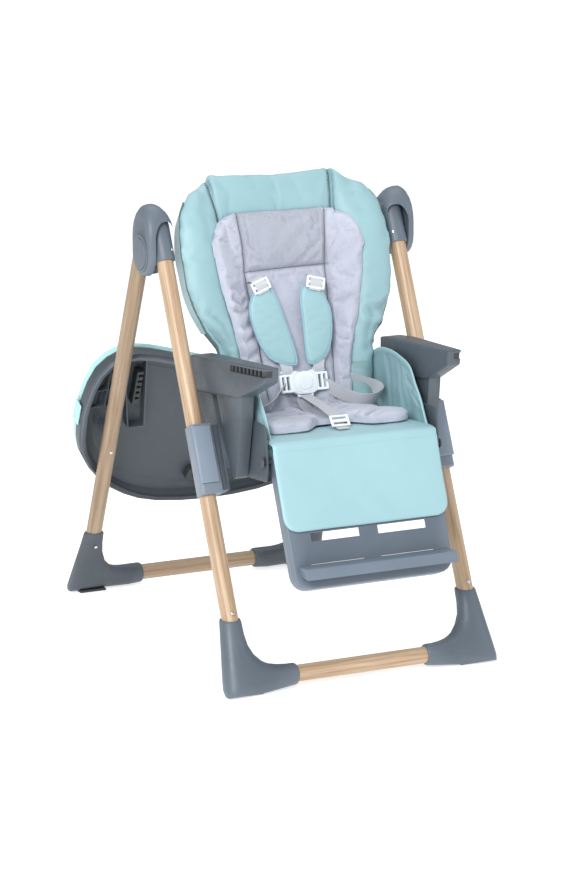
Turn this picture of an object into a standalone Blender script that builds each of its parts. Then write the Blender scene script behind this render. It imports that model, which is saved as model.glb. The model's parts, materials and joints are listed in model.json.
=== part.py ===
"""Baby high chair: folding A-frame, sliding seat, reclining back, calf rest and stored tray.

Axes: the chair faces -Y, +X is the seated child's left hand and +Z is up.
The origin is on the floor, below the middle of the chair.
"""
import math

import bmesh
import bpy
from mathutils import Matrix, Vector

# ---------------------------------------------------------------- driving dimensions (metres)
GAP = 0.0003                  # clearance kept between touching pieces
TUBE_R = 0.016                # every frame tube is 32 mm in diameter
TUBE_BORE_R = 0.0145
SOCKET_R = TUBE_R + GAP       # bore that takes a frame tube
TUBE_SIDES = 24

CENTRE_SHIFT = 0.0128         # moves the whole chair back, so the box is centred on the origin
HUB_Z = 0.776                 # height of the fold axis, which lies along X at Y = 0
FRONT_LEG_X = 0.246
FRONT_LEG_Y = -0.0307         # front leg axis at hub height
FRONT_LEAN = math.radians(24.7)
REAR_LEG_X = 0.2605           # rear leg axis at hub height
REAR_LEG_FLOOR_X = 0.2505
REAR_LEG_Y = 0.0408
REAR_LEAN = math.radians(27.0)

BAR_Z = 0.0265                # height of both crossbars
BAR_HALF = 0.224
FOOT_BASE_Z = 0.002
FRONT_SOCKET_Z = 0.133
REAR_SOCKET_Z = 0.141

HUB_BOTTOM = 0.0445
HUB_HALF_DEPTH = 0.046
HUB_FACE_X = 0.2808
HUB_INNER_X = 0.2424
VISOR_INNER_X = 0.2265
BUTTON_R = 0.030
BUTTON_FLOOR_X = 0.2778
BUTTON_BACK_X = 0.2803
BUTTON_FACE_X = 0.2850

SLEEVE_X = (0.2209, 0.2648)
SLEEVE_W = (-0.473, -0.338)   # along the front leg, from hub height
SLEEVE_V = (-0.0255, 0.0195)  # across the front leg, to the rear

RECLINE_Y = -0.085
RECLINE_Z = 0.452
BACK_LEAN = math.radians(17.0)
CALF_Y = -0.340
CALF_Z = 0.428
CALF_LEAN = math.radians(22.5)

PAN_HALF = 0.1775
PAN_WALL = 0.0035
SEAT_TOP_Z = 0.456
SEAT_HALF = 0.165

CALF_HALF = 0.164
CALF_FRONT_V = -0.0157
CALF_BACK_V = 0.0125
CALF_BOTTOM_W = -0.245
CALF_SKIN = 0.003

TRAY_FRONT_V = 0.0188         # behind the rear leg axis
TRAY_BACK_V = 0.0515
TRAY_PIN_W = -0.470

# Back cushion: height above the recline axis, half width, and how far forward its edge is.
BACK_ROWS = [
    (0.022, 0.148, -0.046), (0.060, 0.156, -0.052), (0.110, 0.161, -0.058),
    (0.142, 0.171, -0.062), (0.170, 0.190, -0.065), (0.205, 0.206, -0.066),
    (0.250, 0.218, -0.067), (0.310, 0.2215, -0.068), (0.360, 0.2205, -0.067),
    (0.400, 0.211, -0.063), (0.432, 0.190, -0.056), (0.456, 0.161, -0.044),
    (0.470, 0.131, -0.034),
]
# Liner on the back: height above the recline axis and half width.
LINER_ROWS = [
    (0.026, 0.100), (0.060, 0.105), (0.110, 0.112), (0.142, 0.122), (0.170, 0.130),
    (0.205, 0.138), (0.250, 0.147), (0.310, 0.153), (0.360, 0.141), (0.392, 0.100),
]
# Half of the tray's outline, seen along the rear leg: sideways, and down from hub height.
TRAY_OUTLINE = [
    (0.000, -0.332), (0.095, -0.308), (0.180, -0.281), (0.245, -0.278), (0.293, -0.318),
    (0.312, -0.390), (0.313, -0.452), (0.300, -0.522), (0.252, -0.592), (0.190, -0.640),
    (0.115, -0.668), (0.000, -0.678),
]

# ---------------------------------------------------------------- frames of reference


def tilted(y, z, lean):
    """Frame at (0, y, z) whose Z axis leans by `lean` towards +Y going up."""
    return Matrix.Translation((0.0, y, z)) @ Matrix.Rotation(-lean, 4, "X")


FRONT_LEG = tilted(FRONT_LEG_Y, HUB_Z, FRONT_LEAN)
REAR_LEG = tilted(REAR_LEG_Y, HUB_Z, -REAR_LEAN)
FOLD_AXIS = tilted(0.0, HUB_Z, 0.0)
BACK = tilted(RECLINE_Y, RECLINE_Z, BACK_LEAN)
CALF = tilted(CALF_Y, CALF_Z, CALF_LEAN)
WORLD = Matrix.Identity(4)


def along_leg(z, lean):
    """Position along a leg, measured from hub height, of the point at height z."""
    return (z - HUB_Z) / math.cos(lean)


def rear_leg_x(w):
    """Sideways place of the rear leg, which splays a little, at `w` along it."""
    share = w / along_leg(0.0, REAR_LEAN)
    return REAR_LEG_X + (REAR_LEG_FLOOR_X - REAR_LEG_X) * share


# ---------------------------------------------------------------- shapes


def loft(loops, closed=False):
    """Solid through loops of points; closed joins the last loop to the first."""
    bm = bmesh.new()
    rows = [[bm.verts.new(point) for point in loop] for loop in loops]
    count = len(rows[0])
    pairs = list(zip(rows, rows[1:]))
    if closed:
        pairs.append((rows[-1], rows[0]))
    for low, high in pairs:
        for i in range(count):
            j = (i + 1) % count
            bm.faces.new((low[i], low[j], high[j], high[i]))
    if not closed:
        bm.faces.new(rows[0][::-1])
        bm.faces.new(rows[-1])
    bmesh.ops.recalc_face_normals(bm, faces=bm.faces)
    return bm


def circle(start, end, radius, sides, at):
    """Loop of points round the line start-end, at `at` along it in metres."""
    axis = (end - start).normalized()
    side = axis.orthogonal().normalized()
    if abs(axis.x) < 0.9:
        side = Vector((1, 0, 0)).cross(axis).normalized()
    other = axis.cross(side)
    centre = start + axis * at
    turns = [2 * math.pi * (i + 0.5) / sides for i in range(sides)]
    return [centre + side * radius * math.cos(t) + other * radius * math.sin(t) for t in turns]


def rod(start, end, radius, sides=TUBE_SIDES):
    start, end = Vector(start), Vector(end)
    length = (end - start).length
    return loft([circle(start, end, radius, sides, at) for at in (0.0, length)])


def turned(start, end, profile, sides=TUBE_SIDES):
    """Solid turned about the line start-end from (distance along it, radius) pairs."""
    start, end = Vector(start), Vector(end)
    return loft([circle(start, end, radius, sides, at) for at, radius in profile])


def pipe(start, end, outer=TUBE_R, inner=TUBE_BORE_R):
    start, end = Vector(start), Vector(end)
    length = (end - start).length
    corners = ((0.0, outer), (length, outer), (length, inner), (0.0, inner))
    return loft([circle(start, end, r, TUBE_SIDES, at) for at, r in corners], closed=True)


def prism(profile, low, high):
    """Profile of (y, z) points, drawn out along X from low to high."""
    return loft([[Vector((x, y, z)) for y, z in profile] for x in (low, high)])


def plate(outline, front, back):
    """Outline of (x, z) points, drawn out along Y from front to back."""
    return loft([[Vector((x, y, z)) for x, z in outline] for y in (front, back)])


def block(low, high):
    x0, y0, z0 = low
    x1, y1, z1 = high
    return prism([(y0, z0), (y1, z0), (y1, z1), (y0, z1)], x0, x1)


def rounded(corners, steps=3):
    """Closed outline from (u, v, radius) corners, each rounded by an arc."""
    outline = []
    count = len(corners)
    for i, (u, v, radius) in enumerate(corners):
        here = Vector((u, v))
        if radius == 0:
            outline.append((u, v))
            continue
        before = (Vector(corners[i - 1][:2]) - here).normalized()
        after = (Vector(corners[(i + 1) % count][:2]) - here).normalized()
        half = before.angle(after) / 2
        centre = here + (before + after).normalized() * (radius / math.sin(half))
        reach = radius / math.tan(half)
        first = here + before * reach - centre
        last = here + after * reach - centre
        start = math.atan2(first.y, first.x)
        sweep = (math.atan2(last.y, last.x) - start + math.pi) % (2 * math.pi) - math.pi
        for k in range(steps + 1):
            turn = start + sweep * k / steps
            outline.append((centre.x + radius * math.cos(turn), centre.y + radius * math.sin(turn)))
    return outline


def smooth_loop(points, steps):
    """Closed curve through the points (Catmull-Rom)."""
    count = len(points)
    curve = []
    for i in range(count):
        p0, p1, p2, p3 = (Vector(points[(i + k) % count]) for k in (-1, 0, 1, 2))
        for k in range(steps):
            t = k / steps
            bend = (2 * p0 - 5 * p1 + 4 * p2 - p3) * t * t
            twist = (3 * p1 - p0 - 3 * p2 + p3) * t ** 3
            curve.append((2 * p1 + (p2 - p0) * t + bend + twist) / 2)
    return curve


def inset(outline, distance):
    """Outline moved inwards; a negative distance moves it outwards."""
    count = len(outline)
    area = sum(outline[i - 1].cross(outline[i]) for i in range(count))
    turn = distance * math.copysign(1.0, area)
    moved = []
    for i, point in enumerate(outline):
        run = outline[(i + 1) % count] - outline[i - 1]
        moved.append(point + Vector((-run.y, run.x)).normalized() * turn)
    return moved


def spread(rows, w, column):
    """Value of a column at height w, straight between the rows."""
    for low, high in zip(rows, rows[1:]):
        if w <= high[0]:
            share = max(0.0, (w - low[0]) / (high[0] - low[0]))
            return low[column] + (high[column] - low[column]) * share
    return rows[-1][column]


# ---------------------------------------------------------------- shape operations


def moved(bm, matrix):
    bmesh.ops.transform(bm, matrix=matrix, verts=bm.verts)
    return bm


def mirrored(bm):
    """Copy on the other side of the chair."""
    other = bm.copy()
    bmesh.ops.transform(other, matrix=Matrix.Diagonal((-1, 1, 1, 1)), verts=other.verts)
    bmesh.ops.reverse_faces(other, faces=other.faces)
    return other


def scratch_object(bm):
    mesh = bpy.data.meshes.new("scratch")
    bm.to_mesh(mesh)
    bm.free()
    item = bpy.data.objects.new("scratch", mesh)
    bpy.context.scene.collection.objects.link(item)
    return item


def combine(operation, base, tools):
    """Boolean of the base with each tool in turn, as a new mesh."""
    body = scratch_object(base)
    others = [scratch_object(tool) for tool in tools]
    for other in others:
        step = body.modifiers.new("step", "BOOLEAN")
        step.operation = operation
        step.solver = "EXACT"
        step.object = other
    bpy.context.view_layer.update()
    graph = bpy.context.evaluated_depsgraph_get()
    result = bmesh.new()
    result.from_mesh(bpy.data.meshes.new_from_object(body.evaluated_get(graph)))
    for item in [body] + others:
        bpy.data.objects.remove(item)
    bmesh.ops.remove_doubles(result, verts=result.verts, dist=0.00002)
    return result


def cut(base, *tools):
    return combine("DIFFERENCE", base, tools)


def join(base, *tools):
    return combine("UNION", base, tools)


def soften(bm, width, segments, wanted):
    """Bevel the sharp edges whose middle passes the test `wanted`."""
    edges = []
    for edge in bm.edges:
        middle = (edge.verts[0].co + edge.verts[1].co) / 2
        if edge.calc_face_angle(0.0) > math.radians(40) and wanted(middle):
            edges.append(edge)
    bmesh.ops.bevel(bm, geom=edges, offset=width, segments=segments, profile=0.5,
                    affect="EDGES", clamp_overlap=True)
    return bm


# ---------------------------------------------------------------- objects


COLOURS = {
    # name: (colour, roughness, metallic)
    "slate_plastic": ((0.125, 0.150, 0.175), 0.45, 0.0),
    "dark_plastic": ((0.030, 0.036, 0.042), 0.55, 0.0),
    "wood_tube": ((0.620, 0.430, 0.270), 0.50, 0.0),
    "mint_vinyl": ((0.400, 0.660, 0.650), 0.45, 0.0),
    "grey_fabric": ((0.480, 0.480, 0.540), 0.90, 0.0),
    "webbing": ((0.560, 0.580, 0.600), 0.70, 0.0),
    "white_plastic": ((0.800, 0.830, 0.840), 0.35, 0.0),
    "steel": ((0.600, 0.600, 0.600), 0.30, 1.0),
    "rubber": ((0.040, 0.040, 0.045), 0.85, 0.0),
}


def material(part_name, look):
    colour, roughness, metallic = COLOURS[look]
    result = bpy.data.materials.new(part_name + "_" + look)
    result.use_nodes = True
    shader = result.node_tree.nodes["Principled BSDF"]
    shader.inputs["Base Color"].default_value = (*colour, 1.0)
    shader.inputs["Roughness"].default_value = roughness
    shader.inputs["Metallic"].default_value = metallic
    result.diffuse_color = (*colour, 1.0)
    return result


def empty(name, matrix, parent=None):
    item = bpy.data.objects.new(name, None)
    bpy.context.scene.collection.objects.link(item)
    item.empty_display_size = 0.05
    item.parent = parent
    item.matrix_world = matrix
    bpy.context.view_layer.update()
    return item


def piece(name, bm, look, parent):
    """One sub-part, from a mesh in chair coordinates, hung on a parent empty."""
    bmesh.ops.transform(bm, matrix=parent.matrix_world.inverted(), verts=bm.verts)
    mesh = bpy.data.meshes.new(name)
    bm.to_mesh(mesh)
    bm.free()
    mesh.shade_smooth()
    mesh.set_sharp_from_angle(angle=math.radians(35))
    item = bpy.data.objects.new(name, mesh)
    bpy.context.scene.collection.objects.link(item)
    item.data.materials.append(material(name, look))
    item.parent = parent
    return item


def both_sides(name, bm, look, parents):
    """The piece for the child's left, and its mirror image for the right."""
    if not isinstance(parents, tuple):
        parents = (parents, parents)
    other = mirrored(bm)
    piece(name + "_left", bm, look, parents[0])
    piece(name + "_right", other, look, parents[1])


# ---------------------------------------------------------------- base frame


def front_leg_point(z):
    """Point at height z on the axis of the left front leg."""
    return FRONT_LEG @ Vector((FRONT_LEG_X, 0, along_leg(z, FRONT_LEAN)))


def rear_leg_point(z):
    """Point at height z on the axis of the left rear leg."""
    w = along_leg(z, REAR_LEAN)
    return REAR_LEG @ Vector((rear_leg_x(w), 0, w))


def foot(leg_point, socket_z, bar_end):
    """Elbow casting that joins a leg to its crossbar.

    Each section runs from a point on the inner bend to one on the outer side;
    both are (x, z), followed by the half depth and how square the section is.
    """
    base = leg_point(BAR_Z)
    half = TUBE_R + 0.0047
    leg_x = leg_point(socket_z * 0.6).x
    top_x = leg_point(socket_z).x
    rise = socket_z / FRONT_SOCKET_Z
    low_z = FOOT_BASE_Z
    sections = [
        ((top_x - half + 0.0015, socket_z), (top_x + half - 0.0015, socket_z), half - 0.0015, 2.0),
        ((top_x - half, socket_z - 0.003), (top_x + half, socket_z - 0.003), half, 2.0),
        ((leg_x - 0.0215, 0.108 * rise), (leg_x + 0.0245, 0.104 * rise), 0.0212, 2.1),
        ((leg_x - 0.0245, 0.088 * rise), (leg_x + 0.0290, 0.070 * rise), 0.0225, 2.3),
        ((leg_x - 0.0335, 0.070), (leg_x + 0.0335, 0.038), 0.0245, 2.5),
        ((leg_x - 0.0460, 0.0575), (leg_x + 0.0365, 0.012), 0.0255, 2.7),
        ((leg_x - 0.0540, 0.0530), (leg_x + 0.0345, low_z), 0.0255, 2.8),
        ((leg_x - 0.0640, 0.0495), (leg_x + 0.0040, low_z), 0.0245, 2.7),
        ((leg_x - 0.0780, 0.0475), (leg_x - 0.0410, low_z), 0.0225, 2.5),
        ((bar_end + 0.017, 0.0470), (bar_end + 0.030, 0.0035), 0.0212, 2.2),
        ((bar_end + 0.003, 0.0472), (bar_end + 0.003, 0.0058), 0.0207, 2.0),
        ((bar_end, 0.0457), (bar_end, 0.0073), 0.0192, 2.0),
    ]
    sides = 20
    loops = []
    for inner, outer, depth, square in sections:
        loop = []
        for i in range(sides):
            turn = 2 * math.pi * i / sides
            across = math.copysign(abs(math.cos(turn)) ** (2 / square), math.cos(turn))
            out = math.copysign(abs(math.sin(turn)) ** (2 / square), math.sin(turn))
            x = (inner[0] + outer[0]) / 2 + (outer[0] - inner[0]) / 2 * out
            z = (inner[1] + outer[1]) / 2 + (outer[1] - inner[1]) / 2 * out
            upright = min(1.0, max(0.0, (x - bar_end - 0.02) / 0.06))
            lean = (leg_point(z).y - base.y) * upright
            loop.append(Vector((x, base.y + lean + depth * across, max(z, low_z))))
        loops.append(loop)
    leg_bore = rod(leg_point(0.052), leg_point(0.20), SOCKET_R)
    bar_bore = rod((bar_end - 0.01, base.y, BAR_Z), (BAR_HALF + 0.001, base.y, BAR_Z), SOCKET_R)
    pad_low, pad_high = pad_box(leg_x, base.y)
    grow = Vector((GAP, GAP, GAP))
    return cut(loft(loops), leg_bore, bar_bore, block(pad_low - grow, pad_high + grow))


def pad_box(leg_x, foot_y):
    return (Vector((leg_x - 0.040, foot_y - 0.013, 0.0)),
            Vector((leg_x + 0.016, foot_y + 0.013, 0.0045)))


def front_frame(parent):
    low = along_leg(0.053, FRONT_LEAN)
    leg = moved(pipe((FRONT_LEG_X, 0, low), (FRONT_LEG_X, 0, 0.044)), FRONT_LEG)
    both_sides("front_leg", leg, "wood_tube", parent)
    casting = foot(front_leg_point, FRONT_SOCKET_Z, 0.135)
    both_sides("front_foot", casting, "slate_plastic", parent)
    foot_y = front_leg_point(BAR_Z).y
    both_sides("front_foot_pad", block(*pad_box(FRONT_LEG_X, foot_y)), "rubber", parent)
    bar = pipe((-BAR_HALF, foot_y, BAR_Z), (BAR_HALF, foot_y, BAR_Z))
    piece("front_crossbar", bar, "wood_tube", parent)
    both_sides("front_hub_socket", front_hub_socket(), "slate_plastic", parent)
    pin = turned((0.2220, 0, HUB_Z), (0.270, 0, HUB_Z),
                 [(0.0, 0.0085), (0.0012, 0.0100), (0.0058, 0.0100), (0.0058, 0.0060),
                  (0.0555, 0.0060)])
    both_sides("hub_pivot_pin", pin, "steel", parent)


def front_hub_socket():
    """Round-topped socket of the front leg, with the lug that turns on the pivot pin."""
    radius = 0.0203
    crown = 0.0555                       # centre of the dome, along the leg
    low = -0.0154
    profile = [(0.0, radius - 0.001), (0.001, radius), (crown - low, radius)]
    for k in range(1, 5):
        turn = math.radians(20 * k)
        profile.append((crown - low + radius * math.sin(turn), radius * math.cos(turn)))
    shape = turned((FRONT_LEG_X, 0, low), (FRONT_LEG_X, 0, 0.1), profile, TUBE_SIDES)
    shape = moved(shape, FRONT_LEG)
    lug = rod((0.2282, 0, HUB_Z), (0.2418, 0, HUB_Z), 0.0240)
    bridge = moved(block((0.2282, 0.0, -0.010), (0.2418, 0.022, 0.034)), FRONT_LEG)
    bore = moved(rod((FRONT_LEG_X, 0, low - 0.01), (FRONT_LEG_X, 0, 0.0445), SOCKET_R), FRONT_LEG)
    pivot = rod((0.20, 0, HUB_Z), (0.246, 0, HUB_Z), 0.0063)
    return cut(join(shape, lug, bridge), bore, pivot)


def hub_outline(top, half_depth, steps=10):
    """Side view of the hub shell at one X: round below, a taller rounded arch above."""
    arch_start = 0.026
    outline = []
    for k in range(steps + 1):
        turn = math.pi * k / steps
        rise = (top - arch_start) * math.sin(turn)
        outline.append((half_depth * math.cos(turn), HUB_Z + arch_start + rise))
    for k in range(steps + 1):
        turn = math.pi * k / steps
        fall = (HUB_BOTTOM - HUB_HALF_DEPTH + half_depth) * math.sin(turn)
        outline.append((-half_depth * math.cos(turn), HUB_Z - fall))
    return outline


def socket_reach(x):
    """Distance from the pivot that clears the front leg's domed socket at this X."""
    side = min(abs(x - FRONT_LEG_X), 0.0212)
    return 0.0515 + math.sqrt(0.0217 ** 2 - side ** 2)


def hub_shell():
    """Domed cover fixed to the rear leg; its visor reaches over the front leg's socket."""
    rows = [(HUB_FACE_X, 0.0770, 0.0400), (0.2795, 0.0815, 0.0425), (0.2765, 0.0865, 0.0445),
            (0.2720, 0.0910, 0.0458), (0.2650, 0.0938, HUB_HALF_DEPTH),
            (0.2560, 0.0938, HUB_HALF_DEPTH),
            (0.2480, 0.0915, 0.0455), (0.2400, 0.0870, 0.0445), (0.2335, 0.0810, 0.0430),
            (0.2290, 0.0750, 0.0415), (VISOR_INNER_X, 0.0700, 0.0400)]
    shell = loft([[Vector((x, y, z)) for y, z in hub_outline(top, half)] for x, top, half in rows])
    ring = turned((HUB_FACE_X - 0.002, 0, HUB_Z), (HUB_FACE_X + 0.01, 0, HUB_Z),
                  [(0.0, 0.0365), (0.0030, 0.0365), (0.0040, 0.0355)], 28)
    shell = join(shell, ring)
    sockets, inners = [], []
    for k in range(13):
        x = 0.2252 + 0.0418 * k / 12
        reach = socket_reach(x)
        arc = [(reach * math.cos(math.radians(77 + 15 * i)),
                HUB_Z + reach * math.sin(math.radians(77 + 15 * i))) for i in range(7)]
        side = [(0.008, HUB_Z - 0.08), (0.008, HUB_Z + 0.015)] + arc + [(-0.08, HUB_Z - 0.08)]
        sockets.append([Vector((x, y, z)) for y, z in side])
    for x in (0.20, 0.2252, 0.2290, 0.2335, 0.2380, HUB_INNER_X):
        reach = socket_reach(x)
        arc = [(reach * math.cos(math.radians(-20 + 18 * i)),
                HUB_Z + reach * math.sin(math.radians(-20 + 18 * i))) for i in range(13)]
        side = arc + [(-0.08, HUB_Z - 0.08), (0.08, HUB_Z - 0.08)]
        inners.append([Vector((x, y, z)) for y, z in side])
    recess = rod((BUTTON_FLOOR_X, 0, HUB_Z), (0.30, 0, HUB_Z), BUTTON_R + GAP, 28)
    pin_bore = rod((0.20, 0, HUB_Z), (BUTTON_FLOOR_X + 0.001, 0, HUB_Z), 0.0063)
    start = REAR_LEG @ Vector((rear_leg_x(-0.1), 0, -0.1))
    end = REAR_LEG @ Vector((rear_leg_x(0.0138), 0, 0.0138))
    leg_bore = rod(start, end, SOCKET_R)
    return cut(shell, loft(sockets), loft(inners), recess, pin_bore, leg_bore)


def rear_frame(parent):
    low = along_leg(0.060, REAR_LEAN)
    top = 0.0135
    leg = moved(pipe((rear_leg_x(low), 0, low), (rear_leg_x(top), 0, top)), REAR_LEG)
    pin_x = rear_leg_x(TRAY_PIN_W)
    pin = moved(rod((pin_x, 0.0152, TRAY_PIN_W), (pin_x, 0.036, TRAY_PIN_W), 0.004, 12), REAR_LEG)
    both_sides("rear_leg", join(leg, pin), "wood_tube", parent)
    casting = foot(rear_leg_point, REAR_SOCKET_Z, 0.129)
    both_sides("rear_foot", casting, "slate_plastic", parent)
    foot_x = rear_leg_point(REAR_SOCKET_Z * 0.6).x
    foot_y = rear_leg_point(BAR_Z).y
    both_sides("rear_foot_pad", block(*pad_box(foot_x, foot_y)), "rubber", parent)
    bar = pipe((-BAR_HALF, foot_y, BAR_Z), (BAR_HALF, foot_y, BAR_Z))
    piece("rear_crossbar", bar, "wood_tube", parent)
    both_sides("hub_shell", hub_shell(), "slate_plastic", parent)


def hub_button():
    depth = BUTTON_FACE_X - BUTTON_BACK_X
    profile = [(0.0, BUTTON_R), (depth - 0.0012, BUTTON_R), (depth, BUTTON_R - 0.0015)]
    return turned((BUTTON_BACK_X, 0, HUB_Z), (0.30, 0, HUB_Z), profile, 28)


# ---------------------------------------------------------------- seat carriage


def slider_sleeve():
    """Sliding sleeve: square towards the seat and in front, round the tube behind it."""
    (x0, x1), (w0, w1), (v0, v1) = SLEEVE_X, SLEEVE_W, SLEEVE_V
    outline = [Vector(point) for point in rounded([(x0, v0, 0.005), (x1, v0, 0.0065),
                                                   (x1, v1, 0.0180), (x0, v1, 0.007)], 4)]
    loops = []
    for w, chamfer in ((w0, 0.0015), (w0 + 0.0015, 0.0), (w1 - 0.0015, 0.0), (w1, 0.0015)):
        loops.append([Vector((p.x, p.y, w)) for p in inset(outline, chamfer)])
    bore = rod((FRONT_LEG_X, 0, w0 - 0.01), (FRONT_LEG_X, 0, w1 + 0.01), SOCKET_R)
    return moved(cut(loft(loops), bore), FRONT_LEG)


LEVER_W = (-0.452, -0.343)
LEVER_V = -0.0289


def height_lever():
    """Squeeze lever on the front of the sleeve, hinged at its lower end."""
    low, high = LEVER_W
    inner, outer = SLEEVE_V[0] - 0.0006, SLEEVE_V[0] - 0.0062
    shape = block((FRONT_LEG_X - 0.0185, outer, low), (FRONT_LEG_X + 0.0185, inner, high))
    shape = soften(shape, 0.0022, 2, lambda p: p.y < outer + 0.0005)
    return moved(shape, FRONT_LEG)


def armrest():
    """Horn that carries the tray, its web down the seat side and its bracket to the sleeve."""
    tip_y, rear_y, shoulder_y = -0.398, -0.100, -0.165
    horn_side = [(tip_y, 0.616), (tip_y + 0.0055, 0.587), (-0.303, 0.546), (shoulder_y, 0.530),
                 (rear_y, 0.525), (rear_y, 0.592), (shoulder_y, 0.599)]
    horn = prism(horn_side, 0.0, 1.0)
    for vert in horn.verts:
        share = max(0.0, (shoulder_y - vert.co.y) / (shoulder_y - tip_y))
        inner = 0.1782 - 0.006 * share
        outer = 0.2215 - 0.0215 * share
        vert.co.x = inner + (outer - inner) * vert.co.x
    horn = soften(horn, 0.002, 1, lambda p: p.z > 0.56)
    web_side = rounded([(-0.303, 0.549, 0), (-0.297, 0.500, 0.02), (-0.2705, 0.388, 0.004),
                        (-0.262, 0.383, 0.003), (-0.215, 0.400, 0), (-0.135, 0.455, 0.02),
                        (rear_y, 0.500, 0), (rear_y, 0.545, 0)])
    web = prism(web_side, 0.1812, 0.2055)
    bracket = moved(block((0.2040, -0.016, SLEEVE_W[0] + 0.006), (SLEEVE_X[0] - GAP, 0.016,
                                                                 SLEEVE_W[1] - 0.004)), FRONT_LEG)
    shape = join(horn, web, bracket)
    slope = 0.074
    groove_low, groove_high = 0.5885, 0.6005
    grooves = [armrest_slot(-0.262, tip_y - 0.01, groove_low, groove_high, slope, 0.0035)]
    for k in range(8):
        start = -0.270 - 0.0145 * k
        grooves.append(armrest_slot(start, start - 0.0075, groove_low + 0.001,
                                    groove_high - 0.001, slope, 0.0075))
    pleat = loft([[Vector((0.2075, y0, z)), Vector((0.2075, y1, z)), Vector((0.1955, ym, z))]
                  for y0, y1, ym, z in ((-0.186, -0.158, -0.170, 0.5295),
                                        (-0.262, -0.234, -0.246, 0.370))])
    return cut(shape, pleat, *grooves)


def armrest_slot(start, end, low, high, slope, depth):
    """Slot in the horn's outer face, following its rising top edge."""
    loops = []
    for y in (start, end):
        share = (-0.165 - y) / 0.233
        face = 0.2215 - 0.0215 * share
        lift = (-0.262 - y) * slope
        loops.append([Vector((x, y, z + lift)) for x, z in
                      ((face - depth, low), (face + 0.01, low), (face + 0.01, high),
                       (face - depth, high))])
    return loft(loops)


def seat_pan():
    """Moulded seat: floor, two side walls and the holes for both hinges."""
    side = rounded([(-0.345, 0.497, 0.012), (-0.352, 0.415, 0.006), (-0.346, 0.391, 0.006),
                    (-0.262, 0.3835, 0.004), (-0.215, 0.397, 0.01), (-0.090, 0.396, 0.01),
                    (-0.068, 0.430, 0), (-0.068, 0.470, 0.012), (-0.100, 0.497, 0.01)])
    walls = []
    for sign in (-1, 1):
        low, high = sorted((sign * (PAN_HALF - PAN_WALL), sign * PAN_HALF))
        walls.append(prism(side, low, high))
    floor = block((-PAN_HALF + 0.001, -0.316, 0.4180), (PAN_HALF - 0.001, -0.104, 0.4238))
    skirt = block((-PAN_HALF + 0.001, -0.316, 0.4020), (PAN_HALF - 0.001, -0.3125, 0.4200))
    rear = block((-PAN_HALF + 0.001, -0.1075, 0.4000), (PAN_HALF - 0.001, -0.104, 0.4200))
    shape = join(floor, *walls, skirt, rear)
    recline_bore = rod((-0.2, RECLINE_Y, RECLINE_Z), (0.2, RECLINE_Y, RECLINE_Z), 0.0064, 16)
    calf_bore = rod((-0.2, CALF_Y, CALF_Z), (0.2, CALF_Y, CALF_Z), 0.0049, 16)
    return cut(shape, recline_bore, calf_bore)


def seat_cushion():
    side = rounded([(-0.326, 0.4242, 0), (-0.326, SEAT_TOP_Z, 0.012), (-0.120, SEAT_TOP_Z, 0.012),
                    (-0.120, 0.4242, 0)])
    return prism(side, -SEAT_HALF, SEAT_HALF)


def liner_seat():
    """Padded insert on the seat, wider in two lobes at the front."""
    outline = [(0.0, -0.262), (0.045, -0.268), (0.090, -0.300), (0.130, -0.303), (0.150, -0.285),
               (0.152, -0.255), (0.138, -0.205), (0.118, -0.165), (0.110, -0.135)]
    full = outline + [(-x, y) for x, y in outline[:0:-1]]
    return loft([[Vector((x, y, z)) for x, y in full] for z in (SEAT_TOP_Z + GAP, 0.471)])


def side_drape():
    """Fold of the seat cover that hangs along the inside of the armrest."""
    side = rounded([(-0.130, 0.574, 0.004), (-0.235, 0.571, 0.012), (-0.262, 0.560, 0.012),
                    (-0.314, 0.500, 0.02), (-0.334, 0.458, 0), (-0.334, 0.4300, 0),
                    (-0.130, 0.4300, 0)])
    return prism(side, SEAT_HALF + 0.0006, 0.1712)


def ribbon(path, thickness, low, high):
    """Flat strap: a path of (y, z) points given a thickness, and drawn out along X."""
    points = [Vector(point) for point in path]
    upper, lower = [], []
    for i, point in enumerate(points):
        run = points[min(i + 1, len(points) - 1)] - points[max(i - 1, 0)]
        across = Vector((-run.y, run.x)).normalized() * thickness / 2
        upper.append(point + across)
        lower.append(point - across)
    return prism([tuple(p) for p in upper + lower[::-1]], low, high)


def crotch_strap():
    path = [(-0.1395, 0.5000), (-0.148, 0.4850), (-0.163, 0.4770), (-0.190, 0.4738),
            (-0.296, 0.4738), (-0.306, 0.4720), (-0.320, 0.4620), (-0.329, 0.4590)]
    return ribbon(path, 0.0018, -0.012, 0.012)


def crotch_adjuster():
    frame = block((-0.018, -0.293, 0.4751), (0.018, -0.265, 0.4796))
    frame = soften(frame, 0.0015, 1, lambda p: p.z > 0.479)
    slots = [block((-0.0135, y, 0.470), (0.0135, y + 0.0065, 0.485)) for y in (-0.2890, -0.2755)]
    return cut(frame, *slots)


def waist_strap():
    """Lap belt: a flat strap standing on edge, looped forward from the seat's rear corner."""
    path = [(0.0535, -0.1370), (0.070, -0.1520), (0.090, -0.1640), (0.112, -0.1670),
            (0.131, -0.1590), (0.1420, -0.1450)]
    points = [Vector(point) for point in path]
    loops = []
    for i, point in enumerate(points):
        run = points[min(i + 1, len(points) - 1)] - points[max(i - 1, 0)]
        across = Vector((-run.y, run.x)).normalized() * 0.0009
        left, right = point + across, point - across
        loops.append([Vector((left.x, left.y, 0.476)), Vector((right.x, right.y, 0.476)),
                      Vector((right.x, right.y, 0.500)), Vector((left.x, left.y, 0.500))])
    return loft(loops)


BUCKLE_W = 0.056


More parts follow.
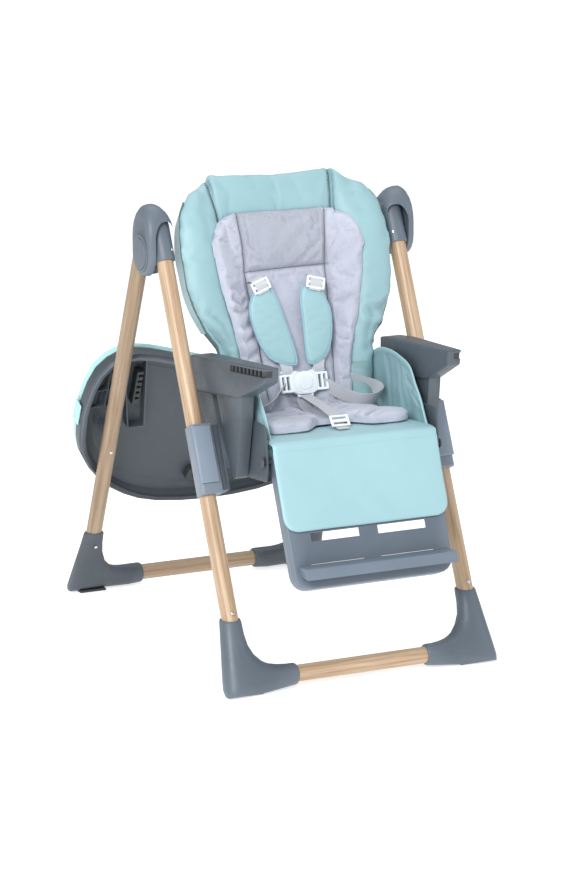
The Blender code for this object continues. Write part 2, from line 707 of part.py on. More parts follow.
def buckle_body():
    outline = rounded([(-0.050, BUCKLE_W + 0.018, 0.003), (-0.050, BUCKLE_W - 0.018, 0.004),
                       (-0.024, BUCKLE_W - 0.024, 0.006), (0.024, BUCKLE_W - 0.024, 0.006),
                       (0.050, BUCKLE_W - 0.018, 0.004), (0.050, BUCKLE_W + 0.018, 0.003),
                       (0.032, BUCKLE_W + 0.026, 0.004), (-0.032, BUCKLE_W + 0.026, 0.004)], 2)
    shape = plate(outline, -0.0680, -0.0556)
    shape = soften(shape, 0.002, 1, lambda p: p.y < -0.067)
    recess = rod((0, -0.0630, BUCKLE_W), (0, -0.08, BUCKLE_W), 0.0168, 20)
    return moved(cut(shape, recess), BACK)


def buckle_button():
    profile = [(0.0, 0.0165), (0.0046, 0.0165), (0.0062, 0.0120)]
    return moved(turned((0, -0.0655, BUCKLE_W), (0, -0.09, BUCKLE_W), profile, 20), BACK)


# ---------------------------------------------------------------- backrest


def cushion_columns(edge):
    """Front and rear of the back cushion: (share of half width, depth) from edge to middle."""
    wing = min(1.0, max(0.0, (-0.046 - edge) / 0.021))
    shoulder = -0.044 + (edge - 0.008 + 0.044) * wing
    front = [(1.0, edge), (0.88, edge - 0.004 - 0.008 * wing), (0.72, shoulder),
             (0.50, -0.0450), (0.25, -0.0400), (0.0, -0.0380)]
    rear = [(0.93, edge + 0.022), (0.75, -0.016 - 0.012 * wing), (0.45, -0.0120), (0.0, -0.0100)]
    return front, rear


def cushion_depth(x, w, face):
    """Depth of the cushion's front (face 0) or rear (face 1) at a place on the back."""
    share = abs(x) / spread(BACK_ROWS, w, 1)
    columns = cushion_columns(spread(BACK_ROWS, w, 2))[face]
    for (u1, v1), (u2, v2) in zip(columns, columns[1:]):
        if share >= u2:
            return v2 + (v1 - v2) * min(1.0, (share - u2) / (u1 - u2))
    return columns[-1][1]


def back_cushion():
    """Scooped pad: a flat middle between two wings that curve forward."""
    loops = []
    for w, half, edge in BACK_ROWS:
        front, rear = cushion_columns(edge)
        ring = front + [(-u, v) for u, v in front[-2::-1]]
        ring += [(-u, v) for u, v in rear] + rear[-2::-1]
        loops.append([Vector((u * half, v, w)) for u, v in ring])
    return moved(loft(loops), BACK)


def liner_back():
    """Padded insert that follows the scoop of the back cushion."""
    loops = []
    shares = [1.0, 0.85, 0.65, 0.40, 0.0]
    shares += [-u for u in shares[-2::-1]]
    for w, half in LINER_ROWS:
        under = [(u * half, cushion_depth(u * half, w, 0) - 0.0020) for u in shares]
        over = [(x * 0.985, v - 0.0015 - 0.0105 * (1 - abs(u) ** 4))
                for (x, v), u in zip(under, shares)]
        loops.append([Vector((x, v, w)) for x, v in under + over[::-1]])
    return moved(loft(loops), BACK)


def tub(low, high, side, offset, rear):
    """Solid behind the cushion: its front follows the cushion's rear at `offset`."""
    rows = [low] + [row[0] for row in BACK_ROWS if low < row[0] < high] + [high]
    loops = []
    for w in rows:
        cushion_half = spread(BACK_ROWS, w, 1)
        half = cushion_half - side
        places = (half, 0.75 * cushion_half, 0.45 * cushion_half, 0.0)
        front = [(x, cushion_depth(x, w, 1) + offset) for x in places]
        ring = front + [(-x, v) for x, v in front[-2::-1]] + [(-half, rear), (half, rear)]
        loops.append([Vector((x, v, w)) for x, v in ring])
    return loft(loops)


def backrest_shell():
    """Thin moulded tub behind the cushion, open at the rear, with hinge ears and stubs."""
    shape = cut(tub(0.0240, 0.4380, 0.028, 0.0025, 0.0120),
                tub(0.0280, 0.4340, 0.0315, 0.0060, 0.0200))
    tools = []
    for sign in (-1, 1):
        low, high = sorted((sign * 0.108, sign * 0.168))
        ear = rounded([(-0.0088, 0.034, 0), (-0.0088, -0.0110, 0.008), (0.0100, -0.0110, 0.008),
                       (0.0100, 0.034, 0)])
        tools.append(prism(ear, low, high))
        low, high = sorted((sign * 0.160, sign * (PAN_HALF - GAP)))
        tools.append(rod((low, 0, 0), (high, 0, 0), 0.006, 16))
    return moved(join(shape, *tools), BACK)


# Outlines of the two shoulder pads: they hang unevenly, one straighter than the other.
PAD_RIGHT = [(-0.083, 0.236), (-0.052, 0.243), (-0.040, 0.222), (-0.025, 0.167), (-0.015, 0.118),
             (-0.0135, 0.094), (-0.022, 0.089), (-0.060, 0.101), (-0.077, 0.120),
             (-0.088, 0.145), (-0.096, 0.180), (-0.096, 0.205), (-0.091, 0.222)]
PAD_LEFT = [(0.018, 0.239), (0.052, 0.232), (0.063, 0.214), (0.071, 0.188), (0.070, 0.160),
            (0.065, 0.135), (0.055, 0.110), (0.042, 0.097), (0.018, 0.088), (0.010, 0.095),
            (0.009, 0.120), (0.010, 0.165), (0.012, 0.215)]


def shoulder_pad(outline):
    edge = inset([Vector(point) for point in outline], 0.003)
    loops = [edge, outline, outline, edge]
    depths = (-0.0655, -0.0680, -0.0740, -0.0765)
    return moved(loft([[Vector((x, v, w)) for x, w in loop] for loop, v in zip(loops, depths)]), BACK)


def shoulder_adjuster(centre_x, centre_w, turn):
    frame = block((-0.0175, -0.0812, -0.0100), (0.0175, -0.0770, 0.0100))
    slots = [block((-0.0135, -0.090, w), (0.0135, -0.070, w + 0.005)) for w in (-0.0070, 0.0020)]
    place = Matrix.Translation((centre_x, 0, centre_w)) @ Matrix.Rotation(turn, 4, "Y")
    return moved(cut(frame, *slots), BACK @ place)


HANDLE_W = 0.395


def recline_handle():
    """Pull handle on the rear of the back: lift it to free the recline."""
    bar = rounded([(-0.055, HANDLE_W - 0.016, 0.01), (0.055, HANDLE_W - 0.016, 0.01),
                   (0.048, HANDLE_W + 0.016, 0.01), (-0.048, HANDLE_W + 0.016, 0.01)])
    shape = plate(bar, -0.0034, 0.0180)
    hold = block((-0.038, 0.002, HANDLE_W - 0.030), (0.038, 0.030, HANDLE_W - 0.003))
    return moved(cut(soften(shape, 0.003, 1, lambda p: p.y > 0.017), hold), BACK)


# ---------------------------------------------------------------- calf rest


def calf_panel():
    """Shallow moulded panel with two long windows, two footplate slots and hinge ears."""
    top = -0.024
    outline = rounded([(-CALF_HALF, top, 0.006), (-CALF_HALF + 0.002, CALF_BOTTOM_W, 0.030),
                       (CALF_HALF - 0.002, CALF_BOTTOM_W, 0.030), (CALF_HALF, top, 0.006)], 5)
    shape = plate(outline, CALF_FRONT_V, CALF_BACK_V)
    shape = soften(shape, 0.004, 2, lambda p: p.y < CALF_FRONT_V + 0.001)
    hollow = rounded([(-CALF_HALF + CALF_SKIN, top - CALF_SKIN, 0.004),
                      (-CALF_HALF + CALF_SKIN + 0.002, CALF_BOTTOM_W + CALF_SKIN, 0.027),
                      (CALF_HALF - CALF_SKIN - 0.002, CALF_BOTTOM_W + CALF_SKIN, 0.027),
                      (CALF_HALF - CALF_SKIN, top - CALF_SKIN, 0.004)], 5)
    tools = [plate(hollow, CALF_FRONT_V + CALF_SKIN, 0.05)]
    for sign in (-1, 1):
        for near, far, low, high in ((0.019, 0.118, -0.1580, -0.1420),
                                     (0.017, 0.126, -0.2052, -0.2000)):
            x0, x1 = sorted((sign * near, sign * far))
            tools.append(block((x0, -0.03, low), (x1, 0.0, high)))
    shape = cut(shape, *tools)
    ears, bores = [], []
    for sign in (-1, 1):
        low, high = sorted((sign * 0.150, sign * 0.1638))
        ear = rounded([(-0.0100, -0.040, 0), (-0.0100, 0.0100, 0.009), (0.0100, 0.0100, 0.009),
                       (0.0100, -0.040, 0)])
        ears.append(prism(ear, low, high))
        low, high = sorted((sign * 0.1545, sign * 0.18))
        bores.append(rod((low, 0, 0), (high, 0, 0), 0.0049, 16))
    return moved(cut(join(shape, *ears), *bores), CALF)


def calf_cushion():
    """Mint flap on the front of the calf panel."""
    half = 0.171
    outline = rounded([(-half, -0.030, 0.002), (-half - 0.001, -0.080, 0), (-half + 0.002, -0.140, 0.028),
                       (half - 0.002, -0.140, 0.028), (half + 0.001, -0.080, 0),
                       (half, -0.030, 0.002)], 4)
    return moved(plate(outline, CALF_FRONT_V - 0.0095, CALF_FRONT_V - GAP), CALF)


def calf_button():
    profile = [(0.0, 0.0045), (0.0240, 0.0045), (0.0240, 0.0095), (0.0262, 0.0095),
               (0.0272, 0.0085)]
    return turned((0.158, CALF_Y, CALF_Z), (0.2, CALF_Y, CALF_Z), profile, 16)


def footplate():
    """Narrow shelf with a hanging front lip; its tabs plug into the lower slots."""
    half = 0.154
    shelf = [(CALF_FRONT_V - 0.0004, -0.2008), (-0.0500, -0.2118), (-0.0535, -0.2135),
             (-0.0535, -0.2330), (-0.0505, -0.2330), (-0.0505, -0.2150),
             (CALF_FRONT_V - 0.0004, -0.2040)]
    shape = prism(shelf, -half, half)
    tools = []
    for sign in (-1, 1):
        low, high = sorted((sign * half, sign * (half - 0.003)))
        tools.append(prism([(-0.0520, -0.2140), (-0.0520, -0.2330), (-0.0200, -0.2200),
                            (-0.0200, -0.2040)], low, high))
        for near, far in ((0.024, 0.062), (0.080, 0.118)):
            low, high = sorted((sign * near, sign * far))
            tools.append(block((low, CALF_FRONT_V - 0.003, -0.2040), (high, -0.0060, -0.2013)))
    return moved(join(shape, *tools), CALF)


# ---------------------------------------------------------------- tray


def tray_outline():
    half = [(x, w) for x, w in TRAY_OUTLINE]
    return smooth_loop(half + [(-x, w) for x, w in half[-2:0:-1]], 2)


def tray_loft(layers):
    outline = tray_outline()
    return loft([[Vector((p.x, v, p.y)) for p in inset(outline, depth)] for depth, v in layers])


def tray_base():
    """Underside of the tray, open to the front: rim, step, ribs, two horn channels, hooks."""
    shape = tray_loft([(0.040, 0.0480), (0.034, 0.0430), (0.017, 0.0430), (0.013, 0.0205),
                       (0.005, TRAY_FRONT_V), (0.0, 0.0250), (0.0, 0.0470),
                       (0.004, TRAY_BACK_V)])
    tools = []
    for sign in (-1, 1):
        for near, far in ((0.1915, 0.1700), (0.2400, 0.2050)):
            wall = [(near, -0.292), (near + 0.003, -0.292), (far + 0.003, -0.466),
                    (far, -0.466)]
            tools.append(plate([(sign * x, w) for x, w in wall], 0.0270, 0.0490))
        low, high = sorted((sign * 0.171, sign * 0.207))
        tools.append(block((low, 0.0270, -0.4680), (high, 0.0490, -0.4645)))
        for w in (-0.325, -0.367, -0.409):
            reach = 0.232 + (-0.325 - w) * -0.20
            low, high = sorted((sign * reach, sign * 0.292))
            tools.append(block((low, 0.0330, w - 0.0012), (high, 0.0490, w + 0.0012)))
        low, high = sorted((sign * 0.262, sign * 0.2645))
        tools.append(block((low, 0.0330, -0.409), (high, 0.0490, -0.300)))
        hook_x = rear_leg_x(TRAY_PIN_W)
        low, high = sorted((sign * (hook_x - 0.010), sign * (hook_x + 0.010)))
        tools.append(block((low, 0.0240, TRAY_PIN_W + 0.0043), (high, 0.0490, TRAY_PIN_W + 0.016)))
    return moved(join(shape, *tools), REAR_LEG)


def tray_insert():
    """Removable top tray: shallow dish with a rolled rim and a clip at each side."""
    shape = tray_loft([(0.012, TRAY_BACK_V + GAP), (0.003, TRAY_BACK_V + 0.001), (0.0005, 0.0620),
                       (0.004, 0.0665), (0.012, 0.0665), (0.023, 0.0560)])
    clips = []
    for sign in (-1, 1):
        low, high = sorted((sign * 0.3150, sign * 0.3180))
        clips.append(block((low, 0.0300, -0.447), (high, 0.0560, -0.400)))
        low, high = sorted((sign * 0.3000, sign * 0.3180))
        clips.append(block((low, TRAY_BACK_V + 0.0010, -0.447), (high, 0.0575, -0.400)))
    return moved(join(shape, *clips), REAR_LEG)


def tray_latch():
    shape = block((0.1930, 0.0290, -0.408), (0.2070, 0.0476, -0.326))
    slots = [block((0.19, 0.0280, -0.3390 - 0.014 * k), (0.2030, 0.0400, -0.3330 - 0.014 * k))
             for k in range(5)]
    return moved(cut(shape, *slots), REAR_LEG)


def tray_release_handle():
    bar = rounded([(-0.055, -0.629, 0.008), (0.055, -0.629, 0.008), (0.047, -0.599, 0.008),
                   (-0.047, -0.599, 0.008)])
    shape = plate(bar, 0.0300, 0.0476)
    hold = block((-0.038, 0.020, -0.617), (0.038, 0.0400, -0.605))
    return moved(cut(shape, hold), REAR_LEG)


# ---------------------------------------------------------------- assembly


def clear_scene():
    for item in list(bpy.data.objects):
        bpy.data.objects.remove(item, do_unlink=True)


def build_chair():
    clear_scene()
    chair = empty("chair", WORLD)
    rear = empty("fold_axis", FOLD_AXIS, chair)
    carriage = empty("seat_carriage", FRONT_LEG, chair)
    back = empty("recline_axis", BACK, carriage)
    calf = empty("calf_axis", CALF, carriage)
    tray = empty("tray_hang", REAR_LEG, rear)

    front_frame(chair)
    rear_frame(rear)
    both_sides("hub_button", hub_button(), "slate_plastic", rear)

    both_sides("slider_sleeve", slider_sleeve(), "slate_plastic", carriage)
    lever_place = FRONT_LEG @ Matrix.Translation((0, LEVER_V, LEVER_W[0]))
    lever_axis = empty("lever_axis", lever_place, carriage)
    both_sides("height_lever", height_lever(), "slate_plastic", lever_axis)
    both_sides("armrest", armrest(), "slate_plastic", carriage)
    piece("seat_pan", seat_pan(), "slate_plastic", carriage)
    piece("seat_cushion", seat_cushion(), "mint_vinyl", carriage)
    piece("liner_seat", liner_seat(), "grey_fabric", carriage)
    both_sides("side_drape", side_drape(), "mint_vinyl", carriage)
    piece("crotch_strap", crotch_strap(), "webbing", carriage)
    piece("crotch_adjuster", crotch_adjuster(), "white_plastic", carriage)
    both_sides("waist_strap", waist_strap(), "webbing", carriage)
    piece("buckle_body", buckle_body(), "white_plastic", carriage)
    piece("buckle_button", buckle_button(), "white_plastic", carriage)

    piece("backrest_shell", backrest_shell(), "slate_plastic", back)
    piece("back_cushion", back_cushion(), "mint_vinyl", back)
    piece("liner_back", liner_back(), "grey_fabric", back)
    piece("shoulder_pad_left", shoulder_pad(PAD_LEFT), "mint_vinyl", back)
    piece("shoulder_pad_right", shoulder_pad(PAD_RIGHT), "mint_vinyl", back)
    left_glide = shoulder_adjuster(0.049, 0.243, math.radians(14))
    right_glide = shoulder_adjuster(-0.065, 0.246, math.radians(-18))
    piece("shoulder_adjuster_left", left_glide, "white_plastic", back)
    piece("shoulder_adjuster_right", right_glide, "white_plastic", back)
    piece("recline_handle", recline_handle(), "dark_plastic", back)

    piece("calf_panel", calf_panel(), "slate_plastic", calf)
    piece("calf_cushion", calf_cushion(), "mint_vinyl", calf)
    both_sides("calf_button", calf_button(), "dark_plastic", calf)
    piece("footplate", footplate(), "slate_plastic", calf)

    piece("tray_base", tray_base(), "slate_plastic", tray)
    piece("tray_insert", tray_insert(), "mint_vinyl", tray)
    both_sides("tray_latch", tray_latch(), "dark_plastic", tray)
    piece("tray_release_handle", tray_release_handle(), "dark_plastic", tray)
    chair.location.y = CENTRE_SHIFT


build_chair()
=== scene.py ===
"""Looks of the folding baby high chair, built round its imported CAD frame.

Soft pieces are made in the frame of the body they belong to: x is the seated child's left,
y is the depth (front is negative) and z runs up the back, leg or calf rest.
"""
import json
import math

import bmesh
import bpy
import numpy as np
from mathutils import Matrix, Vector, noise
from mathutils.bvhtree import BVHTree


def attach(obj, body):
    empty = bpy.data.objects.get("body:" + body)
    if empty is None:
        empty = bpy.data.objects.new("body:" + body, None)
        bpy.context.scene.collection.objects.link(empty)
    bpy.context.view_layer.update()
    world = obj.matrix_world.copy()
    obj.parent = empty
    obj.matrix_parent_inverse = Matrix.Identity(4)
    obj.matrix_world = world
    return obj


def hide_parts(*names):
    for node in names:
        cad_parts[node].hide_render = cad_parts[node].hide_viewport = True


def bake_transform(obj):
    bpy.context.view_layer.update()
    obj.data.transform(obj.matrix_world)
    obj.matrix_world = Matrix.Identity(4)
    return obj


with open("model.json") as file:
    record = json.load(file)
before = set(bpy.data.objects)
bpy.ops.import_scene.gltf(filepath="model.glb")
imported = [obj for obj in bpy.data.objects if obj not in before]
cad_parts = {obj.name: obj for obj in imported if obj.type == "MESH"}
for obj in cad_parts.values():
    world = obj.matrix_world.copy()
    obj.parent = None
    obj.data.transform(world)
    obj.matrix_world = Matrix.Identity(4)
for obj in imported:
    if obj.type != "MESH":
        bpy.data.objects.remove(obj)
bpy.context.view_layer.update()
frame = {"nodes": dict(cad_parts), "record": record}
NODES = frame["nodes"]

# ---------------------------------------------------------------- frames of reference

SHIFT = 0.0128                # the CAD model's own shift along Y


def tilted(y, z, lean):
    """Frame at (0, y, z) whose Z axis leans by `lean` degrees towards +Y going up."""
    place = Matrix.Translation((0.0, y + SHIFT, z))
    return place @ Matrix.Rotation(-math.radians(lean), 4, "X")


FRONT_LEG = tilted(-0.0307, 0.776, 24.7)
REAR_LEG = tilted(0.0408, 0.776, -27.0)
BACK = tilted(-0.085, 0.452, 17.0)
CALF = tilted(-0.34, 0.428, 22.5)
SEAT = tilted(0.0, 0.0, 0.0)

CLOTH_FRAMES = 20             # frames for which a pad is blown up
TAPE_THICKNESS = 0.0014
SEAM_PAINT = 0.0001           # how far a stitch lies above its cloth
LINER_TOP = 0.394             # top edge of the liner, up the back
SEAT_REACH = 0.15            # the seat's half width and its depth in front of the back
DRAPE_THICKNESS = 0.0022
DRAPE_X = 0.167              # where the drapes hang, to each side

# ---------------------------------------------------------------- materials


class Look:
    """A node material: `tree` holds its nodes and `shader` is its Principled BSDF."""

    def __init__(self, name, colour, roughness, **sockets):
        self.material = bpy.data.materials.new(name)
        self.material.use_nodes = True
        self.tree = self.material.node_tree
        self.shader = self.tree.nodes["Principled BSDF"]
        self.shader.inputs["Base Color"].default_value = (*colour, 1.0)
        self.shader.inputs["Roughness"].default_value = roughness
        for socket, value in sockets.items():
            self.shader.inputs[socket.replace("_", " ")].default_value = value
        self.material.diffuse_color = (*colour, 1.0)

    def node(self, kind, inputs=None, **settings):
        made = self.tree.nodes.new("ShaderNode" + kind)
        for key, value in settings.items():
            setattr(made, key, value)
        for key, value in (inputs or {}).items():
            if isinstance(value, bpy.types.NodeSocket):
                self.tree.links.new(value, made.inputs[key])
            else:
                made.inputs[key].default_value = value
        return made

    def coordinates(self, kind="Object", scale=(1, 1, 1), turn=(0, 0, 0)):
        source = self.node("TexCoord").outputs[kind]
        mapping = self.node("Mapping", {"Vector": source, "Scale": scale, "Rotation": turn})
        return mapping.outputs["Vector"]

    def along(self, turn, stretch):
        """Object coordinates stretched along the Z axis of a frame turned by `turn`."""
        source = self.node("TexCoord").outputs["Object"]
        inputs = {"Vector": source, "Rotation": turn, "Scale": (1, 1, stretch)}
        return self.node("Mapping", inputs, vector_type="TEXTURE").outputs["Vector"]

    def crease_shade_edge_highlight(self, colour, dark, light, low=0.47, high=0.545):
        """Painted shade darkens a colour in the creases and a painted highlight lightens it along the
        raised edges.
        """
        curve = self.node("NewGeometry").outputs["Pointiness"]
        crease_shade = self.span(curve, dark, 1.0, (low, 0.498))
        edge = self.span(curve, 1.0, light, (0.505, high))
        gain = self.times(crease_shade, edge)
        return self.scaled(colour, gain)

    def scaled(self, colour, gain):
        return self.node("VectorMath", {0: colour, 3: gain}, operation="SCALE").outputs[0]

    def times(self, first, second):
        return self.math("MULTIPLY", first, second)

    def less(self, amount, share):
        """1 minus a share of an amount."""
        return self.math("SUBTRACT", 1.0, self.times(amount, share))

    def noise(self, vector, scale, detail=3.0, roughness=0.5):
        made = self.node("TexNoise", {"Vector": vector, "Scale": scale, "Detail": detail,
                                      "Roughness": roughness})
        return made.outputs["Fac"]

    def math(self, operation, first, second=0.0):
        return self.node("Math", {0: first, 1: second}, operation=operation).outputs[0]

    def span(self, value, low, high, source=(0.3, 0.7)):
        made = self.node("MapRange", {"Value": value, "From Min": source[0],
                                      "From Max": source[1], "To Min": low, "To Max": high})
        return made.outputs["Result"]

    def ramp(self, value, stops):
        made = self.node("ValToRGB", {"Fac": value})
        points = made.color_ramp.elements
        while len(points) < len(stops):
            points.new(0.5)
        for point, (place, colour) in zip(points, stops):
            point.position = place
            point.color = (*colour, 1.0)
        return made.outputs["Color"]

    def scuffed(self, low, high):
        """Roughness that handling has made uneven."""
        scuff = self.noise(self.coordinates(scale=(1, 1, 0.25)), 60.0, 5.0, 0.7)
        self.feed("Roughness", self.span(scuff, low, high))

    def moulded_grain(self, place, strength=1.0):
        """Spark-eroded grain over faint waves."""
        self.bump((self.noise(place, 1500.0, 2.0), 0.16 * strength, 0.0004),
                  (self.noise(place, 22.0, 2.0), 0.1, 0.002))

    def bump(self, *layers):
        """Each layer is (height, strength, distance in metres)."""
        normal = None
        for height, strength, distance in layers:
            inputs = {"Height": height, "Strength": strength, "Distance": distance}
            if normal is not None:
                inputs["Normal"] = normal
            normal = self.node("Bump", inputs).outputs["Normal"]
        self.tree.links.new(normal, self.shader.inputs["Normal"])

    def feed(self, socket, value):
        self.tree.links.new(value, self.shader.inputs[socket])


def shades(colour, spread):
    """Darker, plain and lighter versions of a colour, for a three-stop ramp."""
    return [(0.25, [c * (1 - spread) for c in colour]), (0.5, colour),
            (0.75, [min(1.0, c * (1 + spread)) for c in colour])]


def plastic(name, colour, roughness=0.42, grain=1.0, **sockets):
    """Moulded plastic: spark-eroded grain, faint flow marks and handling scuffs."""
    look = Look(name, colour, roughness, **sockets)
    place = look.coordinates()
    cloud = look.noise(place, 9.0, 4.0)
    # Painted shade in the creases and painted highlight along the raised edges.
    look.feed("Base Color", look.crease_shade_edge_highlight(look.ramp(cloud, shades(colour, 0.07)), 0.62, 1.32))
    look.scuffed(roughness - 0.06, roughness + 0.08)
    look.moulded_grain(place, grain)
    return look.material


def vinyl(name, colour):
    """Soft coated cloth: pebbled skin over foam, slightly uneven in colour and gloss."""
    look = Look(name, colour, 0.46, Sheen_Weight=0.12, Sheen_Roughness=0.4, Coat_Weight=0.05,
                Coat_Roughness=0.45)
    place = look.coordinates()
    cloud = look.noise(place, 7.0, 3.0)
    # Painted shade in the creases and seams, painted highlight along the raised edges.
    look.feed("Base Color", look.crease_shade_edge_highlight(look.ramp(cloud, shades(colour, 0.035)), 0.74, 1.04))
    cells = look.node("TexVoronoi", {"Vector": place, "Scale": 620.0},
                      feature="DISTANCE_TO_EDGE").outputs["Distance"]
    pebble = look.math("MINIMUM", look.times(cells, 2.4), 0.5)
    look.feed("Roughness", look.span(look.noise(place, 40.0, 4.0), 0.4, 0.52))
    look.bump((pebble, 0.22, 0.0005), (look.noise(place, 55.0, 3.0), 0.1, 0.0025))
    return look.material


def darker_pillow(look, place, colour):
    """The liner is darker on its head pillow, above the pillow seam and between the two upright seams.
    """
    up = BACK.to_3x3() @ Vector((0, 0, 1))
    height = look.node("VectorMath", {0: place, 1: tuple(up)}, operation="DOT_PRODUCT")
    w = look.math("SUBTRACT", height.outputs["Value"], up.dot(BACK.translation))
    x = look.math("ABSOLUTE", look.node("SeparateXYZ", {0: place}).outputs["X"])
    inside = look.times(look.span(w, 0.0, 1.0, (0.279, 0.282)),
                       look.span(x, 1.0, 0.0, (0.087, 0.091)))
    return look.scaled(colour, look.less(inside, 0.2))


def soft_cloth(name, colour, pillow=False):
    """Brushed jersey with a melange of light and dark fibres."""
    look = Look(name, colour, 0.88, Sheen_Weight=0.35, Sheen_Roughness=0.45)
    place = look.coordinates()
    fibre = look.noise(look.coordinates(scale=(1.0, 1.0, 0.35)), 900.0, 3.0, 0.75)
    cloud = look.noise(place, 26.0, 4.0, 0.6)
    blend = look.math("ADD", look.times(fibre, 0.62), look.times(cloud, 0.38))
    melange = look.ramp(blend, [(0.34, [c * 0.8 for c in colour]), (0.5, colour),
                                (0.68, [min(1.0, c * 1.14) for c in colour])])
    if pillow:
        melange = darker_pillow(look, place, melange)
    # Painted shade in the creases and seams, painted highlight along the raised edges.
    look.feed("Base Color", look.crease_shade_edge_highlight(melange, 0.76, 1.08))
    knit = look.node("TexWave", {"Vector": look.coordinates(scale=(1, 0.2, 1)), "Scale": 130.0,
                                 "Distortion": 1.5, "Detail": 1.0}, bands_direction="X")
    look.bump((look.noise(place, 1300.0, 2.0), 0.35, 0.0006),
              (knit.outputs["Fac"], 0.1, 0.0004), (look.noise(place, 75.0, 3.0), 0.22, 0.002))
    return look.material


def webbing(name, colour, roughness=0.4):
    """Woven satin tape. Its UV map is in metres: U across the tape and V along it."""
    look = Look(name, colour, roughness, Sheen_Weight=0.25, Sheen_Roughness=0.3)
    place = look.coordinates("UV")
    twill = look.node("TexWave", {"Vector": look.coordinates("UV", turn=(0, 0, 0.9)),
                                  "Scale": 230.0, "Distortion": 0.4}).outputs["Fac"]
    ribs = look.node("TexWave", {"Vector": place, "Scale": 330.0},
                     bands_direction="Y").outputs["Fac"]
    threads = look.times(twill, ribs)
    look.feed("Base Color", look.ramp(threads, [(0.0, [c * 0.8 for c in colour]),
                                                (1.0, [min(1.0, c * 1.1) for c in colour])]))
    look.bump((threads, 0.35, 0.0005))
    return look.material


OAK = [(0.3, (0.3, 0.18, 0.1)), (0.44, (0.43, 0.292, 0.182)), (0.55, (0.53, 0.388, 0.262)),
       (0.72, (0.62, 0.49, 0.36))]
# The rear legs and rear crossbar take a shaded copy of the oak, two thirds as bright: painted shade.
REAR_OAK_IN_SHADE = [(place, [c * 0.66 for c in colour]) for place, colour in OAK]


def armrest_plastic(name, colour):
    """Slate moulding with painted shade inside the slotted rack on its outer face."""
    look = Look(name, colour, 0.45)
    place = look.coordinates()
    parts = look.node("SeparateXYZ", {0: place})
    y = look.math("SUBTRACT", parts.outputs["Y"], SHIFT - 0.262)
    z = look.math("ADD", parts.outputs["Z"], look.times(y, 0.074))
    # Painted shade: mask of the inside of the rack, on the outer face only.
    inside = look.times(look.span(z, 0.0, 1.0, (0.588, 0.5886)),
                       look.span(z, 1.0, 0.0, (0.6004, 0.601)))
    inside = look.times(inside, look.span(y, 1.0, 0.0, (0.0, 0.001)))
    outer = look.span(look.math("ABSOLUTE", parts.outputs["X"]), 0.0, 1.0, (0.184, 0.186))
    inside = look.times(inside, outer)
    cloud = look.ramp(look.noise(place, 9.0, 4.0), shades(colour, 0.07))
    # Painted shade inside the rack and in the creases, painted highlight along the raised edges.
    look.feed("Base Color", look.crease_shade_edge_highlight(look.scaled(cloud, look.less(inside, 0.72)), 0.62, 1.45))
    look.feed("Roughness", look.span(look.noise(place, 60.0, 5.0), 0.36, 0.5))
    look.moulded_grain(place)
    return look.material


def tray_plastic(name):
    """Slate moulding with painted shade: its recess is darker the deeper it lies behind the rim, and its
    rim darkens towards its lower edge.
    """
    look = Look(name, (0.06, 0.075, 0.09), 0.45)
    place = look.coordinates()
    normal = REAR_LEG.to_3x3() @ Vector((0, 1, 0))
    along = look.node("VectorMath", {0: place, 1: tuple(normal)}, operation="DOT_PRODUCT")
    origin = normal.dot(REAR_LEG.translation)
    depth = look.math("SUBTRACT", along.outputs["Value"], origin)
    # Painted shade in the recess: the deeper behind the rim, the darker.
    share = look.span(depth, 0.0, 1.0, (0.0205, 0.04))
    cloud = look.times(look.math("SUBTRACT", look.noise(place, 9.0, 4.0), 0.5), 0.12)
    shaded = look.ramp(look.math("ADD", share, cloud), [
        (0.0, (0.1, 0.122, 0.148)), (0.12, (0.064, 0.08, 0.096)), (0.9, (0.052, 0.066, 0.079))])
    height = look.node("SeparateXYZ", {0: place}).outputs["Z"]
    # Painted shade along the lower part of the rim.
    low = look.times(look.span(height, 0.62, 0.0, (0.27, 0.4)),
                    look.span(share, 1.0, 0.0, (0.0, 0.5)))
    look.feed("Base Color", look.scaled(shaded, look.math("SUBTRACT", 1.0, low)))
    look.scuffed(0.36, 0.52)
    look.moulded_grain(place)
    return look.material


def oak(name, turn, stops=OAK):
    """Printed oak film on a metal tube. `turn` is the rotation of the tube's own frame."""
    look = Look(name, (0.65, 0.47, 0.31), 0.42, Coat_Weight=0.12, Coat_Roughness=0.3)
    broad = look.noise(look.along(turn, 28.0), 150.0, 3.0, 0.55)
    fine = look.noise(look.along(turn, 60.0), 460.0, 4.0, 0.7)
    pores = look.noise(look.along(turn, 30.0), 900.0, 2.0, 0.6)
    grain = look.math("ADD", look.times(broad, 0.66), look.times(fine, 0.34))
    colour = look.ramp(grain, stops)
    dark = look.span(pores, 1.0, 0.0, (0.6, 0.72))
    mixed = look.node("Mix", {6: (0.36, 0.22, 0.12, 1.0), 7: colour}, data_type="RGBA")
    look.tree.links.new(look.math("ADD", look.times(dark, 0.45), 0.55), mixed.inputs[0])
    look.feed("Base Color", mixed.outputs[2])
    look.feed("Roughness", look.span(fine, 0.36, 0.5))
    look.bump((grain, 0.1, 0.0006), (pores, 0.06, 0.0003))
    return look.material


SLATE = (0.09, 0.114, 0.142)
MINT = (0.272, 0.448, 0.492)
PALE_MINT = (0.312, 0.512, 0.562)
SILVER_GREY = (0.448, 0.474, 0.566)

